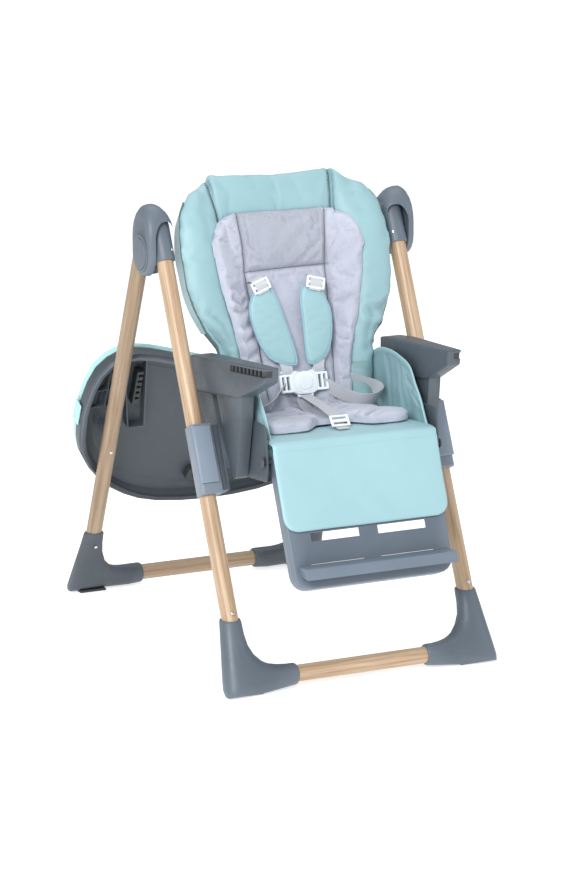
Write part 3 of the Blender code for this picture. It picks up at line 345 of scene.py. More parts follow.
LOOKS = {
    "slate": plastic("slate_plastic", SLATE),
    "slate_light": plastic("slate_plastic_light", (0.112, 0.142, 0.182), 0.36),
    "slate_deep": plastic("slate_plastic_deep", (0.052, 0.065, 0.08), 0.45),
    "armrest": armrest_plastic("slate_plastic_armrest", (0.05, 0.063, 0.077)),
    "sleeve": plastic("slate_plastic_sleeve", (0.15, 0.182, 0.226), 0.36),
    "lever": plastic("slate_plastic_lever", (0.17, 0.21, 0.264), 0.36),
    "slate_dark": plastic("slate_plastic_dark", (0.05, 0.062, 0.073), 0.5),
    "tray": tray_plastic("tray_plastic"),
    "black": plastic("dark_plastic", (0.024, 0.028, 0.031), 0.5),
    "mint": vinyl("mint_vinyl", MINT),
    "pale_mint": vinyl("mint_vinyl_light", PALE_MINT),
    "mint_plastic": plastic("mint_plastic", (0.33, 0.56, 0.57), 0.26, 0.4),
    "grey": soft_cloth("grey_jersey", SILVER_GREY, pillow=True),
    "seam_shade_mint": soft_cloth("mint_seam_shade", (0.07, 0.13, 0.145)),
    "seam_shade_grey": soft_cloth("grey_seam_shade", (0.13, 0.14, 0.18)),
    "piping": soft_cloth("dark_piping_cloth", (0.09, 0.15, 0.165)),
    "bluish": soft_cloth("piping_cloth", (0.26, 0.42, 0.52)),
    "tape": webbing("webbing_silver", (0.59, 0.612, 0.66), 0.28),
    "tape_white": webbing("webbing_white", (0.62, 0.65, 0.69), 0.5),
    "white": plastic("white_plastic", (0.64, 0.7, 0.735), 0.26, 0.3, Subsurface_Weight=0.08,
                     Subsurface_Scale=0.004),
    "thread": webbing("thread", (0.3, 0.5, 0.54), 0.6),
    "thread_grey": webbing("thread_grey", (0.3, 0.32, 0.39), 0.7),
    "steel": plastic("zinc_steel", (0.56, 0.57, 0.59), 0.28, 0.5, Metallic=1.0),
    "rubber": plastic("rubber", (0.03, 0.032, 0.035), 0.8, 2.5),
    "oak_front": oak("oak_front_leg", (math.radians(-24.7), 0, 0)),
    "oak_rear": oak("oak_rear_leg", (math.radians(27.0), 0, 0), REAR_OAK_IN_SHADE),
    "oak_bar": oak("oak_crossbar", (0, math.radians(90.0), 0)),
    "oak_rear_bar": oak("oak_rear_crossbar", (0, math.radians(90.0), 0), REAR_OAK_IN_SHADE),
}

# ---------------------------------------------------------------- mesh helpers


def smooth_step(value):
    value = np.clip(value, 0, 1)
    return value * value * (3 - 2 * value)


def tree_of(item):
    return BVHTree.FromPolygons([tuple(v) for v in array_of(item)],
                                [tuple(p.vertices) for p in item.data.polygons])


def band(bm, upper, lower, flip=False):
    """Faces between two rows of vertices."""
    for corners in zip(upper, upper[1:], lower[1:], lower):
        bm.faces.new(corners[::-1] if flip else corners)


def skin(bm, rows, flip=False):
    """Faces over a grid of vertices."""
    for upper, lower in zip(rows, rows[1:]):
        band(bm, upper, lower, flip)


def link(name, mesh, look, place=Matrix.Identity(4)):
    """A new object from a mesh in local coordinates, smooth shaded but for its real edges."""
    made = bpy.data.objects.new(name, mesh)
    bpy.context.scene.collection.objects.link(made)
    made.matrix_world = place
    mesh.materials.clear()
    mesh.materials.append(LOOKS[look])
    mesh.shade_smooth()
    return made


def from_bmesh(name, bm, look, place=Matrix.Identity(4), sharp=40.0):
    bmesh.ops.recalc_face_normals(bm, faces=bm.faces)
    mesh = bpy.data.meshes.new(name)
    bm.to_mesh(mesh)
    bm.free()
    made = link(name, mesh, look, place)
    mesh.set_sharp_from_angle(angle=math.radians(sharp))
    return made


def bake(item):
    """Turns an object's modifiers into its mesh."""
    bpy.context.view_layer.update()
    graph = bpy.context.evaluated_depsgraph_get()
    old = item.data
    item.data = bpy.data.meshes.new_from_object(item.evaluated_get(graph))
    item.modifiers.clear()
    bpy.data.meshes.remove(old)
    return item


def modify(item, kind, **settings):
    made = item.modifiers.new(kind.lower(), kind)
    for key, value in settings.items():
        setattr(made, key, value)
    return made


def settle(item, body, slot, *nodes, fill=None):
    """Says what a piece rides on and which CAD nodes it stands for; its `slot`, the finish it would
    take, is not used.
    """
    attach(item, body)
    if nodes:
        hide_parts(*nodes)
    return item


def on_back(item, slot="mint_vinyl"):
    return settle(item, "backrest", slot)


def spline(points, step):
    """Points about `step` apart on a smooth curve through the given ones."""
    points = [Vector(p) for p in points]
    padded = [2 * points[0] - points[1], *points, 2 * points[-1] - points[-2]]
    out = []
    for a, b, c, d in zip(padded, padded[1:], padded[2:], padded[3:]):
        count = max(1, round((c - b).length / step))
        for k in range(count):
            t = k / count
            out.append(0.5 * (2 * b + (c - a) * t + (2 * a - 5 * b + 4 * c - d) * t * t
                              + (3 * b - a - 3 * c + d) * t ** 3))
    out.append(points[-1])
    return out


def sweep(bm, path, sides, section, closed=False):
    """Sweeps a section of (across, lift) points along a path; `sides` gives the across axis.

    The UV map is in metres: U round the section and V along the path.
    """
    uv = bm.loops.layers.uv.verify()
    rings, length, lengths = [], 0.0, []
    count = len(path)
    for i, point in enumerate(path):
        ahead = path[(i + 1) % count] if closed or i + 1 < count else point
        behind = path[i - 1] if closed or i > 0 else point
        run = (ahead - behind).normalized()
        across = (sides[i] - run * sides[i].dot(run)).normalized()
        lift = run.cross(across)
        rings.append([bm.verts.new(point + across * a + lift * b) for a, b in section])
        length += (point - path[i - 1]).length if i else 0.0
        lengths.append(length)
    around = [0.0]
    for (a, b), (c, d) in zip(section, section[1:] + section[:1]):
        around.append(around[-1] + math.hypot(c - a, d - b))
    size = len(section)
    spans = list(zip(range(count), range(1, count)))
    if closed:
        spans.append((count - 1, 0))
    for i, j in spans:
        for k in range(size):
            m = (k + 1) % size
            face = bm.faces.new((rings[i][k], rings[i][m], rings[j][m], rings[j][k]))
            places = ((k, i), (k + 1, i), (k + 1, j), (k, j))
            for loop, (across_index, along_index) in zip(face.loops, places):
                loop[uv].uv = (around[across_index], lengths[along_index])
    if not closed:
        bm.faces.new(rings[0][::-1])
        bm.faces.new(rings[-1])


def flat_section(width, thickness):
    """Cross-section of a tape, with rounded edges."""
    half, thin = width / 2, thickness / 2
    upper = [(-half + thin * 0.4, thin), (-half * 0.5, thin), (0.0, thin), (half * 0.5, thin),
             (half - thin * 0.4, thin)]
    return [(-half, 0.0)] + upper + [(half, 0.0)] + [(a, -b) for a, b in upper[::-1]]


def round_section(radius, count=8):
    turns = [2 * math.pi * k / count for k in range(count)]
    return [(radius * math.cos(t), radius * math.sin(t)) for t in turns]


def tape(name, path, sides, width, look, place):
    """Flat strap through the given points; `sides` are its width directions at those points."""
    line = spline(path, 0.004)
    across = spline([Vector(s).normalized() for s in sides], 0.01)
    picked = [across[round(k * (len(across) - 1) / (len(line) - 1))] for k in range(len(line))]
    bm = bmesh.new()
    sweep(bm, line, picked, flat_section(width, TAPE_THICKNESS))
    return from_bmesh(name, bm, look, place, sharp=60)


def extrude(outline, low, high, bevel, segments=2):
    """Plate from an outline of (x, z) points between two depths, with rounded rims."""
    bm = bmesh.new()
    loops = [[bm.verts.new((x, y, z)) for x, z in outline] for y in (low, high)]
    band(bm, loops[0] + loops[0][:1], loops[1] + loops[1][:1])
    rims = [bm.faces.new(loops[0][::-1]), bm.faces.new(loops[1])]
    bmesh.ops.recalc_face_normals(bm, faces=bm.faces)
    edges = {edge for face in rims for edge in face.edges}
    bmesh.ops.bevel(bm, geom=list(edges), offset=bevel, segments=segments, profile=0.5,
                    affect="EDGES", clamp_overlap=True)
    return bm


def merge(*parts):
    """Joins several bmeshes into the first."""
    target = parts[0]
    for part in parts[1:]:
        mesh = bpy.data.meshes.new("part")
        part.to_mesh(mesh)
        part.free()
        target.from_mesh(mesh)
        bpy.data.meshes.remove(mesh)
    return target


def arc_corners(corners, steps=4):
    """Rounds a polygon given as (x, z, radius) corners."""
    out = []
    count = len(corners)
    for k, (x, z, radius) in enumerate(corners):
        here = Vector((x, z))
        back = (Vector(corners[k - 1][:2]) - here).normalized()
        ahead = (Vector(corners[(k + 1) % count][:2]) - here).normalized()
        if radius < 1e-6:
            out.append((x, z))
            continue
        half = back.angle(ahead) / 2
        reach = radius / math.tan(half)
        start, end = here + back * reach, here + ahead * reach
        centre = here + (back + ahead).normalized() * radius / math.sin(half)
        for step in range(steps + 1):
            t = step / steps
            spoke = start.lerp(end, t) - centre
            out.append(tuple(centre + spoke.normalized() * radius))
    return out


def array_of(item):
    co = np.empty(len(item.data.vertices) * 3)
    item.data.vertices.foreach_get("co", co)
    return co.reshape(-1, 3)


def normals_of(item):
    item.data.update()
    co = np.empty(len(item.data.vertices) * 3)
    item.data.vertices.foreach_get("normal", co)
    return co.reshape(-1, 3)


def write(item, co):
    item.data.vertices.foreach_set("co", co.ravel())
    item.data.update()


# ---------------------------------------------------------------- moulded and tube parts

BODY_OF = {node: body for body, nodes in frame["record"]["behaviour"]["bodies"].items()
           for node in nodes}


def moulded(node, look, bevel, slot="slate_plastic"):
    """The CAD node with its hard edges rounded the way a moulding tool leaves them."""
    mesh = NODES[node].data.copy()
    made = link(node + "_moulding", mesh, look)
    bm = bmesh.new()
    bm.from_mesh(mesh)
    bmesh.ops.remove_doubles(bm, verts=bm.verts, dist=1e-5)
    bmesh.ops.dissolve_limit(bm, angle_limit=math.radians(0.6), verts=bm.verts, edges=bm.edges)
    bm.to_mesh(mesh)
    bm.free()
    for name in ("custom_normal", "sharp_edge", "sharp_face"):
        if name in mesh.attributes:
            mesh.attributes.remove(mesh.attributes[name])
    modify(made, "BEVEL", width=bevel, segments=2, limit_method="ANGLE",
           angle_limit=math.radians(32.0), use_clamp_overlap=True, harden_normals=False)
    bake(made)
    made.data.shade_smooth()
    made.data.set_sharp_from_angle(angle=math.radians(38))
    return settle(made, BODY_OF[node], slot, node)


def paint(node, look):
    """Gives a CAD node that is already right its material."""
    slots = NODES[node].data.materials
    slots.clear()
    slots.append(LOOKS[look])


# Each moulding: CAD node, look, width of its rounded edges and, where not slate, its slot.
PAIRED_MOULDINGS = (
    # The rear feet take the deeper slate as painted shade.
    ("front_foot", "slate", 0.0012), ("rear_foot", "slate_deep", 0.0012),
    ("front_hub_socket", "slate", 0.001), ("hub_shell", "slate", 0.0014),
    ("slider_sleeve", "sleeve", 0.0012), ("height_lever", "lever", 0.0016),
    ("armrest", "armrest", 0.0012), ("hub_button", "slate", 0.001),
    ("calf_button", "slate_deep", 0.0008, "dark_plastic"),
    ("tray_latch", "black", 0.0006, "dark_plastic"))
MOULDINGS = (
    ("seat_pan", "slate_deep", 0.001), ("backrest_shell", "slate_dark", 0.001),
    ("calf_panel", "slate_light", 0.0012), ("footplate", "slate_light", 0.0007),
    ("tray_base", "tray", 0.0008), ("tray_insert", "mint_plastic", 0.0012, "mint_plastic"),
    ("tray_release_handle", "black", 0.001, "dark_plastic"),
    ("recline_handle", "black", 0.0012, "dark_plastic"))
PAIRED_PAINT = (("front_leg", "oak_front"), ("rear_leg", "oak_rear"), ("hub_pivot_pin", "steel"),
                ("front_foot_pad", "rubber"), ("rear_foot_pad", "rubber"))


def rigid_parts():
    """Every tube and moulding; tubes keep their CAD shape."""
    for side in ("_left", "_right"):
        for node, *finish in PAIRED_MOULDINGS:
            moulded(node + side, *finish)
        for node, look in PAIRED_PAINT:
            paint(node + side, look)
    for node, *finish in MOULDINGS:
        moulded(node, *finish)
    paint("front_crossbar", "oak_bar")
    paint("rear_crossbar", "oak_rear_bar")


# ---------------------------------------------------------------- padded pieces


def soft_copy(name, node, place, look, voxel, rounding):
    """Copy of a CAD cushion, remeshed evenly and rounded, in its own frame's coordinates."""
    mesh = NODES[node].data.copy()
    mesh.transform(place.inverted())
    made = link(name, mesh, look, place)
    modify(made, "WELD", merge_threshold=1e-5)
    modify(made, "REMESH", mode="VOXEL", voxel_size=voxel)
    modify(made, "SMOOTH", factor=0.5, iterations=rounding)
    bake(made)
    made.data.shade_smooth()
    return made


FRONT = (0, -1, 0)
UP = (0, 0, 1)
FROM_FRONT = (0, 2)           # axes of the view from the front: x and height
FROM_SIDE = (1, 2)            # and from the side: depth and height


def to_line(co, line, plane=FROM_FRONT):
    """Distance of each point from a polyline in a plane of two axes."""
    flat = co[:, plane]
    best = np.full(len(co), 9.0)
    for start, end in zip(line, line[1:]):
        a, d = np.array(start), np.array(end) - np.array(start)
        t = np.clip(((flat - a) @ d) / (d @ d), 0, 1)
        best = np.minimum(best, np.linalg.norm(flat - a - t[:, None] * d, axis=1))
    return best


def inflate(item, held, pressure, swell, cap):
    """Blows a pad up as cloth between its held seams, then limits how far it may have moved."""
    rest = array_of(item)
    group = item.vertex_groups.new(name="held")
    for index, weight in enumerate(held):
        if weight > 0.02:
            group.add([index], float(weight), "REPLACE")
    cloth = modify(item, "CLOTH")
    settings = cloth.settings
    settings.quality = 6
    settings.mass = 0.25
    settings.tension_stiffness = settings.compression_stiffness = 18.0
    settings.shear_stiffness = 8.0
    settings.bending_stiffness = 0.6
    settings.air_damping = 4.0
    settings.use_pressure = True
    settings.uniform_pressure_force = pressure
    settings.shrink_min = -swell
    settings.effector_weights.gravity = 0.0
    settings.vertex_group_mass = "held"
    cloth.collision_settings.use_collision = False
    cloth.collision_settings.use_self_collision = False
    scene = bpy.context.scene
    for step in range(1, CLOTH_FRAMES + 1):
        scene.frame_set(step)
    graph = bpy.context.evaluated_depsgraph_get()
    blown = item.evaluated_get(graph).to_mesh()
    co = np.empty(len(blown.vertices) * 3)
    blown.vertices.foreach_get("co", co)
    item.modifiers.clear()
    item.vertex_groups.clear()
    move = co.reshape(-1, 3) - rest
    size = np.linalg.norm(move, axis=1, keepdims=True)
    move *= cap / np.maximum(size, cap)
    write(item, rest + move)
    scene.frame_set(1)
    return item


def refine(item):
    """One subdivision, baked."""
    modify(item, "SUBSURF", levels=1, render_levels=1)
    bake(item)
    item.data.shade_smooth()


def facing(item, direction):
    """How far each point faces a direction, from 0 to 1."""
    return np.clip((normals_of(item) @ np.array(direction)) * 1.6, 0, 1)


def groove(item, line, depth, width, direction=FRONT):
    """Presses a sewn channel into the side of a pad that faces `direction`."""
    co, out = array_of(item), normals_of(item)
    near = np.exp(-(to_line(co, line) / width) ** 2) * facing(item, direction)
    write(item, co - out * (depth * near)[:, None])


def creases(item, lines, plane=FROM_FRONT, direction=FRONT):
    """Soft wrinkles: each is (line, depth, width); a low ridge runs beside the valley."""
    co, out = array_of(item), normals_of(item)
    total = np.zeros(len(co))
    for line, depth, width in lines:
        d = to_line(co, line, plane) / width
        total += depth * (1.25 * np.exp(-d ** 2) - 0.45 * np.exp(-((d - 1.7) / 0.9) ** 2))
    write(item, co - out * (total * facing(item, direction))[:, None])


def unevenness(item, size, amount, seed):
    """Gentle lumps, the way a filled or wrinkled cover sits."""
    co, out = array_of(item), normals_of(item)
    shift = np.array([noise.noise(Vector(p) / size + Vector((seed, 0, 0))) for p in co])
    write(item, co + out * (shift * amount)[:, None])


def surface_line(item, line, lift, start=-0.2):
    """Points and normals where an (x, z) line, seen from the front, meets a pad."""
    tree = tree_of(item)
    found = []
    for point in spline([(a, b, 0.0) for a, b in line], 0.004):
        place, normal, _, _ = tree.ray_cast(Vector((point.x, start, point.y)), Vector((0, 1, 0)))
        if place is not None:
            found.append((place + normal * lift, normal))
    return found


def seam_shade_cord(name, found, radius, look, place):
    """A thin round cord along points found on a surface; the seams use a dark one as painted shade in
    their grooves.
    """
    path = [point for point, _ in found]
    bm = bmesh.new()
    sweep(bm, path, [normal for _, normal in found], round_section(radius))
    return from_bmesh(name, bm, look, place, sharp=80)


def stitches(name, found, look, place, offset=0.0, pitch=0.0048, length=0.0031, radius=0.00034):
    """A row of short threads lying on a surface, `offset` to the side of the line."""
    bm = bmesh.new()
    travelled, due = 0.0, 0.0
    section = round_section(radius, 5)
    for (a, na), (b, nb) in zip(found, found[1:]):
        run = b - a
        if run.length < 1e-7:
            continue
        along = run.normalized()
        while due <= travelled + run.length:
            normal = na.lerp(nb, (due - travelled) / run.length).normalized()
            across = along.cross(normal).normalized()
            centre = a + along * (due - travelled) + across * offset
            ends = (-0.5, -0.3, 0.3, 0.5)
            sinks = (-0.0006, 0.0, 0.0, -0.0006)
            path = [centre + along * length * e + normal * s for e, s in zip(ends, sinks)]
            sweep(bm, path, [across] * 4, section)
            due += pitch
        travelled += run.length
    return from_bmesh(name, bm, look, place, sharp=80)


WING_SEAMS = [[(-0.139, 0.475), (-0.133, 0.425), (-0.123, 0.366), (-0.121, 0.33)],
              [(0.124, 0.47), (0.117, 0.425), (0.114, 0.384), (0.118, 0.34)]]


def hold(item, lines, direction=FRONT, far=0.009):
    """How firmly each point is held: fully at the seams, and over the whole hidden side."""
    co = array_of(item)
    held = np.clip(0.35 - facing(item, direction), 0, 0.35)
    for line in lines:
        held = np.maximum(held, np.clip((far - to_line(co, line)) / (far - 0.003), 0, 1))
    return np.clip(held, 0, 1)


def back_cushion():
    """Mint cover of the back: a middle panel between two wings, sewn along deep seams."""
    pad = soft_copy("back_cushion_cover", "back_cushion", BACK, "mint", 0.0048, 8)
    side_lines = [[(sign * 0.121, 0.345), (sign * 0.138, 0.26), (sign * 0.125, 0.16),
                   (sign * 0.112, 0.03)] for sign in (-1, 1)]
    held = hold(pad, WING_SEAMS + side_lines)
    inflate(pad, np.maximum(held, under_liner(array_of(pad))), 4.0, 0.008, 0.011)
    modify(pad, "SMOOTH", factor=0.5, iterations=5)
    bake(pad)
    refine(pad)
    ears(pad)
    for line in WING_SEAMS:
        groove(pad, line, 0.0075, 0.0042)
        groove(pad, line, 0.004, 0.012)
        groove(pad, line, 0.006, 0.005, UP)
    creases(pad, [
        ([(0.215, 0.2), (0.188, 0.182), (0.156, 0.18)], 0.005, 0.011),
        ([(0.198, 0.165), (0.176, 0.146), (0.166, 0.118)], 0.004, 0.01),
        ([(0.16, 0.166), (0.148, 0.142), (0.144, 0.112)], 0.0028, 0.009),
        ([(-0.2, 0.18), (-0.172, 0.154), (-0.152, 0.12)], 0.004, 0.01),
        ([(-0.18, 0.202), (-0.156, 0.178), (-0.142, 0.14)], 0.0024, 0.008),
        ([(-0.15, 0.43), (-0.16, 0.395), (-0.158, 0.34)], 0.0016, 0.012),
        ([(0.15, 0.43), (0.165, 0.38), (0.17, 0.32)], 0.0016, 0.014),
    ])
    unevenness(pad, 0.07, 0.0018, 3.0)
    settle(pad, "backrest", "mint_vinyl", "back_cushion", fill=0.8)
    for side, line in zip(("right", "left"), WING_SEAMS):
        found = surface_line(pad, line, 0.0)
        on_back(seam_shade_cord(f"back_seam_{side}_shade", found, 0.0012, "seam_shade_mint", BACK))
        for row, offset in (("a", 0.0052), ("b", -0.0052)):
            on_back(stitches(f"back_seam_{side}_{row}", found, "thread", BACK, offset))
    for side, sign in (("right", -1), ("left", 1)):
        rim_piping(pad, f"back_piping_{side}", sign)
    cushion_skirt(pad)
    return pad


def ears(pad):
    """The middle panel's top corners stand up a little beside the lower wings."""
    co = array_of(pad)
    high = np.clip((co[:, 2] - 0.405) / 0.04, 0, 1)
    near = np.abs(co[:, 0])
    co[:, 2] += high * (0.0045 * np.exp(-((near - 0.126) / 0.012) ** 2)
                        - 0.0075 * np.exp(-((near - 0.156) / 0.016) ** 2)
                        - 0.003 * np.exp(-(co[:, 0] / 0.07) ** 2))
    write(pad, co)


def cushion_skirt(pad):
    """Rear of the cover: it folds round the edge of the shell and is gathered by elastic."""
    co = array_of(pad)
    middle = np.array((0.0, 0.25))
    spokes = co[:, [0, 2]] - middle
    angles, reach = np.arctan2(spokes[:, 1], spokes[:, 0]), np.linalg.norm(spokes, axis=1)
    rim = []
    for turn in np.radians(np.arange(-26.0, 206.1, 2.0)):
        close = np.abs((angles - turn + math.pi) % math.tau - math.pi) < math.radians(1.2)
        rim.append(co[close][np.argmax(reach[close])])
    rim = np.array(rim)
    for _ in range(8):
        rim[1:-1] = (rim[:-2] + 2 * rim[1:-1] + rim[2:]) / 4
    inward = middle - rim[:, [0, 2]]
    inward /= np.linalg.norm(inward, axis=1, keepdims=True)
    rows = [rim + np.c_[inward[:, 0] * 0.003, np.full(len(rim), 0.002), inward[:, 1] * 0.003]]
    for share in (0.25, 0.5, 0.75, 1.0):
        step = 0.003 + 0.014 * share
        deep = rim[:, 1] + (0.0125 - rim[:, 1]) * share
        rows.append(np.c_[rim[:, 0] + inward[:, 0] * step, deep, rim[:, 2] + inward[:, 1] * step])
    for step, deep in ((0.021, 0.015), (0.032, 0.0155), (0.042, 0.015)):
        gather = 0.0007 * np.sin(np.arange(len(rim)) * 1.9)
        rows.append(np.c_[rim[:, 0] + inward[:, 0] * step, deep + gather + 0.0008,
                          rim[:, 2] + inward[:, 1] * step])
    grid = np.array(rows)
    bm = bmesh.new()
    skin(bm, [[bm.verts.new(p) for p in row] for row in grid])
    skirt = from_bmesh("back_cover_skirt", bm, "mint", BACK, 80)
    modify(skirt, "SOLIDIFY", thickness=0.0014, offset=0.0)
    bake(skirt)
    refine(skirt)
    unevenness(skirt, 0.05, 0.001, 61.0)
    on_back(skirt)


def rim_piping(pad, name, sign):
    """Dark welt down the outer edge of a wing, where the front cover meets the rear one."""
    co = array_of(pad)
    path = []
    for z in np.arange(0.12, 0.432, 0.012):
        band = co[np.abs(co[:, 2] - z) < 0.004]
        widest = band[np.argmax(band[:, 0] * sign)]
        path.append((widest[0] - sign * 0.0006, widest[1] + 0.003, z))
    line = spline(path, 0.006)
    bm = bmesh.new()
    sweep(bm, line, [Vector((0, -1, 0.01))] * len(line), round_section(0.0019))
    on_back(from_bmesh(name, bm, "piping", BACK, 80))


LINER_SEAMS = [[(-0.09, 0.392), (-0.086, 0.33), (-0.087, 0.262), (-0.08, 0.16),
                (-0.072, 0.03)],
               [(0.095, 0.392), (0.09, 0.33), (0.083, 0.277), (0.078, 0.16), (0.07, 0.03)]]
PILLOW_SEAM = [(-0.087, 0.278), (0.0, 0.281), (0.086, 0.282)]


# Liner outline up the back: height, and half width on the -X and the +X side.
LINER_ROWS = [(0.02, 0.118, 0.104), (0.06, 0.12, 0.107), (0.11, 0.126, 0.113),
              (0.142, 0.131, 0.122), (0.17, 0.137, 0.13), (0.205, 0.143, 0.139),
              (0.25, 0.15, 0.149), (0.31, 0.157, 0.157), (0.345, 0.153, 0.154),
              (0.372, 0.137, 0.138), (0.388, 0.112, 0.113), (0.394, 0.092, 0.092)]
CORNER_W = 0.055              # where the back ends and the round corner to the seat begins
SEAT_START_Y = -0.15         # where that corner ends, in the chair's own depth
SEAT_HALVES = [(0.0, 0.118), (0.015, 0.118), (0.055, 0.138), (0.105, 0.152), (0.15, 0.15)]


def under_liner(co):
    """1 where a point of the back cushion lies under the liner, fading out at its edge."""
    half = np.interp(co[:, 2], [row[0] for row in LINER_ROWS],
                     [(row[1] + row[2]) / 2 for row in LINER_ROWS])
    inside = np.clip((half - 0.006 - np.abs(co[:, 0])) / 0.012, 0, 1)
    return inside * np.clip((0.388 - co[:, 2]) / 0.012, 0, 1)


def liner_half(s, sign):
    """Half width at a station: height up the back above 0, distance along the seat below it."""
    if s > 0:
        heights, right, left = zip(*LINER_ROWS)
        return np.interp(s, heights, left if sign > 0 else right)
    return np.interp(-s, *zip(*SEAT_HALVES))


def liner_end(x):
    """How far the liner runs along the seat: two lobes beside a notch, with round corners."""
    x = abs(x)
    reach = 0.112 + 0.038 * smooth_step((x - 0.028) / 0.045)
    past = max(0.0, x - 0.118)
    return -(reach - (0.032 - math.sqrt(max(0.0, 0.032 ** 2 - past ** 2))))


def seat_height(y):
    """Height of the seat's surface; it rises where the cover of the calf rest starts."""
    return 0.4588 + 0.0085 * smooth_step((-0.228 - y) / 0.03)


def tub_point(tree, x, s):
    """World point on the surface that the liner lies on."""
    w = max(s, CORNER_W)
    hit = tree.ray_cast(Vector((x, -0.2, w)), Vector((0, 1, 0)))[0]
    depth = (hit.y if hit is not None else -0.046) - 0.0015
    top = BACK @ Vector((x, depth, w))
    if s >= CORNER_W:
        return top
    if s < 0:
        y = SEAT_START_Y + s
        return Vector((x, y + SHIFT, seat_height(y)))
    end = Vector((x, SEAT_START_Y + SHIFT, seat_height(SEAT_START_Y)))
    t = 1 - s / CORNER_W
    down = BACK.to_3x3() @ Vector((0, 0, -1)) * 0.072
    ahead = Vector((0, -1, 0)) * 0.072
    return ((2 * t ** 3 - 3 * t * t + 1) * top + (t ** 3 - 2 * t * t + t) * down
            + (3 * t * t - 2 * t ** 3) * end + (t ** 3 - t * t) * ahead)


def crossing_pad(name, look, tree, top, end, half, depth, rim, columns, step):
    """Pad from the back to the seat: `depth` gives its thickness at (x, station)."""
    stations = [top - step * k for k in range(int((top + 0.002) / step))]
    places, flat, edge = [], [], []
    shares = [-1 + 2 * k / (columns - 1) for k in range(columns)]
    for s in stations:
        flat.append([(u * half(s, u), s) for u in shares])
    seat_rows = round(SEAT_REACH / step)
    for j in range(seat_rows + 1):
        ends = [end(u * SEAT_REACH) * j / seat_rows for u in shares]
        flat.append([(u * half(s - 1e-6, u), s) for u, s in zip(shares, ends)])
    for row in flat:
        places.append([tub_point(tree, x, s) for x, s in row])
        halves = [half(s - 1e-6, x) for x, s in row]
        edge.append([min(wide - abs(x), top - s, s - end(x / wide * SEAT_REACH))
                     for (x, s), wide in zip(row, halves)])
    grid = np.array([[tuple(p) for p in row] for row in places])
    down, across = np.gradient(grid, axis=0), np.gradient(grid, axis=1)
    out = np.cross(down, across)
    out /= np.linalg.norm(out, axis=2, keepdims=True)
    flat, edge = np.array(flat), np.maximum(np.array(edge), 0.0)
    roundness = np.sqrt(1 - (1 - np.minimum(1.0, edge / rim)) ** 2)
    thick = depth(flat[..., 0].ravel(), flat[..., 1].ravel()).reshape(edge.shape)
    upper = grid + out * (thick * roundness)[..., None]
    bm = bmesh.new()
    sheets = [[[bm.verts.new(p) for p in row] for row in sheet] for sheet in (upper, grid)]
    for sheet, flip in zip(sheets, (True, False)):
        skin(bm, sheet, flip)
    bmesh.ops.remove_doubles(bm, verts=bm.verts, dist=5e-5)
    bmesh.ops.dissolve_degenerate(bm, edges=bm.edges, dist=2e-5)
    return from_bmesh(name, bm, look, sharp=80)


LINER_FOLDS = (
    [([(-0.146, z), (-0.118, z - 0.007), (-0.092, z + 0.001)], 0.0024, 0.0062)
     for z in (0.206, 0.176, 0.15, 0.12, 0.094)]
    + [([(0.136, z), (0.112, z - 0.008), (0.092, z - 0.006)], 0.0008, 0.008)
       for z in (0.215, 0.12)]
    + [([(0.08, 0.368), (0.03, 0.33), (-0.01, 0.3)], 0.0014, 0.013),
       ([(0.092, 0.345), (0.05, 0.318), (0.03, 0.296)], 0.0012, 0.01),
       ([(-0.134, 0.226), (-0.114, 0.214), (-0.098, 0.22)], 0.003, 0.007),
       ([(-0.12, 0.02), (-0.06, 0.0), (-0.02, 0.006)], 0.0034, 0.008),
       ([(0.03, 0.01), (0.07, -0.004), (0.112, 0.01)], 0.003, 0.008),
       ([(-0.128, -0.03), (-0.09, -0.018), (-0.045, -0.022)], 0.004, 0.007),
       ([(-0.045, -0.022), (-0.03, -0.04), (-0.04, -0.062)], 0.0034, 0.006),
       ([(-0.14, -0.07), (-0.1, -0.055), (-0.06, -0.068), (-0.03, -0.064)], 0.0034, 0.007),
       ([(-0.125, -0.11), (-0.085, -0.095), (-0.048, -0.1)], 0.0026, 0.007),
       ([(0.036, -0.05), (0.07, -0.036), (0.108, -0.044)], 0.0032, 0.007),
       ([(0.045, -0.095), (0.082, -0.076), (0.125, -0.08)], 0.0032, 0.007),
       ([(0.06, -0.13), (0.095, -0.112), (0.13, -0.116)], 0.0022, 0.006)])


def liner_depth(x, s):
    """Thickness of the liner before it is blown up: bolsters, pillow and sewn lines."""
    flat = np.stack([x, s], axis=1)
    right, left = [np.interp(s, [z for _, z in seam[::-1]], [x for x, _ in seam[::-1]])
                   for seam in LINER_SEAMS]
    beside = np.maximum(smooth_step((x - left) / 0.012), smooth_step((right - x) / 0.012))
    back = smooth_step((s - 0.01) / 0.05)
    thick = 0.0095 + 0.004 * beside * back
    thick += 0.0035 * (1 - beside) * smooth_step((s - 0.279) / 0.01)
    thick += 0.0065 * (1 - back) * smooth_step((np.abs(x) - 0.018) / 0.03)
    for line in LINER_SEAMS + [PILLOW_SEAM]:
        d = to_line(flat, line, (0, 1))
        thick *= (1 - 0.7 * np.exp(-(d / 0.0045) ** 2)) * (1 - 0.2 * np.exp(-(d / 0.014) ** 2))
    for line, drop, width in LINER_FOLDS:
        d = to_line(flat, line, (0, 1)) / width
        fold = 1.2 * np.exp(-d ** 2) - 0.5 * np.exp(-((d - 1.7) / 0.9) ** 2)
        thick -= np.where(s < 0.03, 1.9, 1.2) * drop * fold
    return np.maximum(thick, 0.0012)


def gusset_depth(x, s):
    """The seat's own cover is thin under the liner and thicker where it shows beside it."""
    return 0.0008 + 0.0024 * smooth_step((np.abs(x) - 0.1) / 0.012)


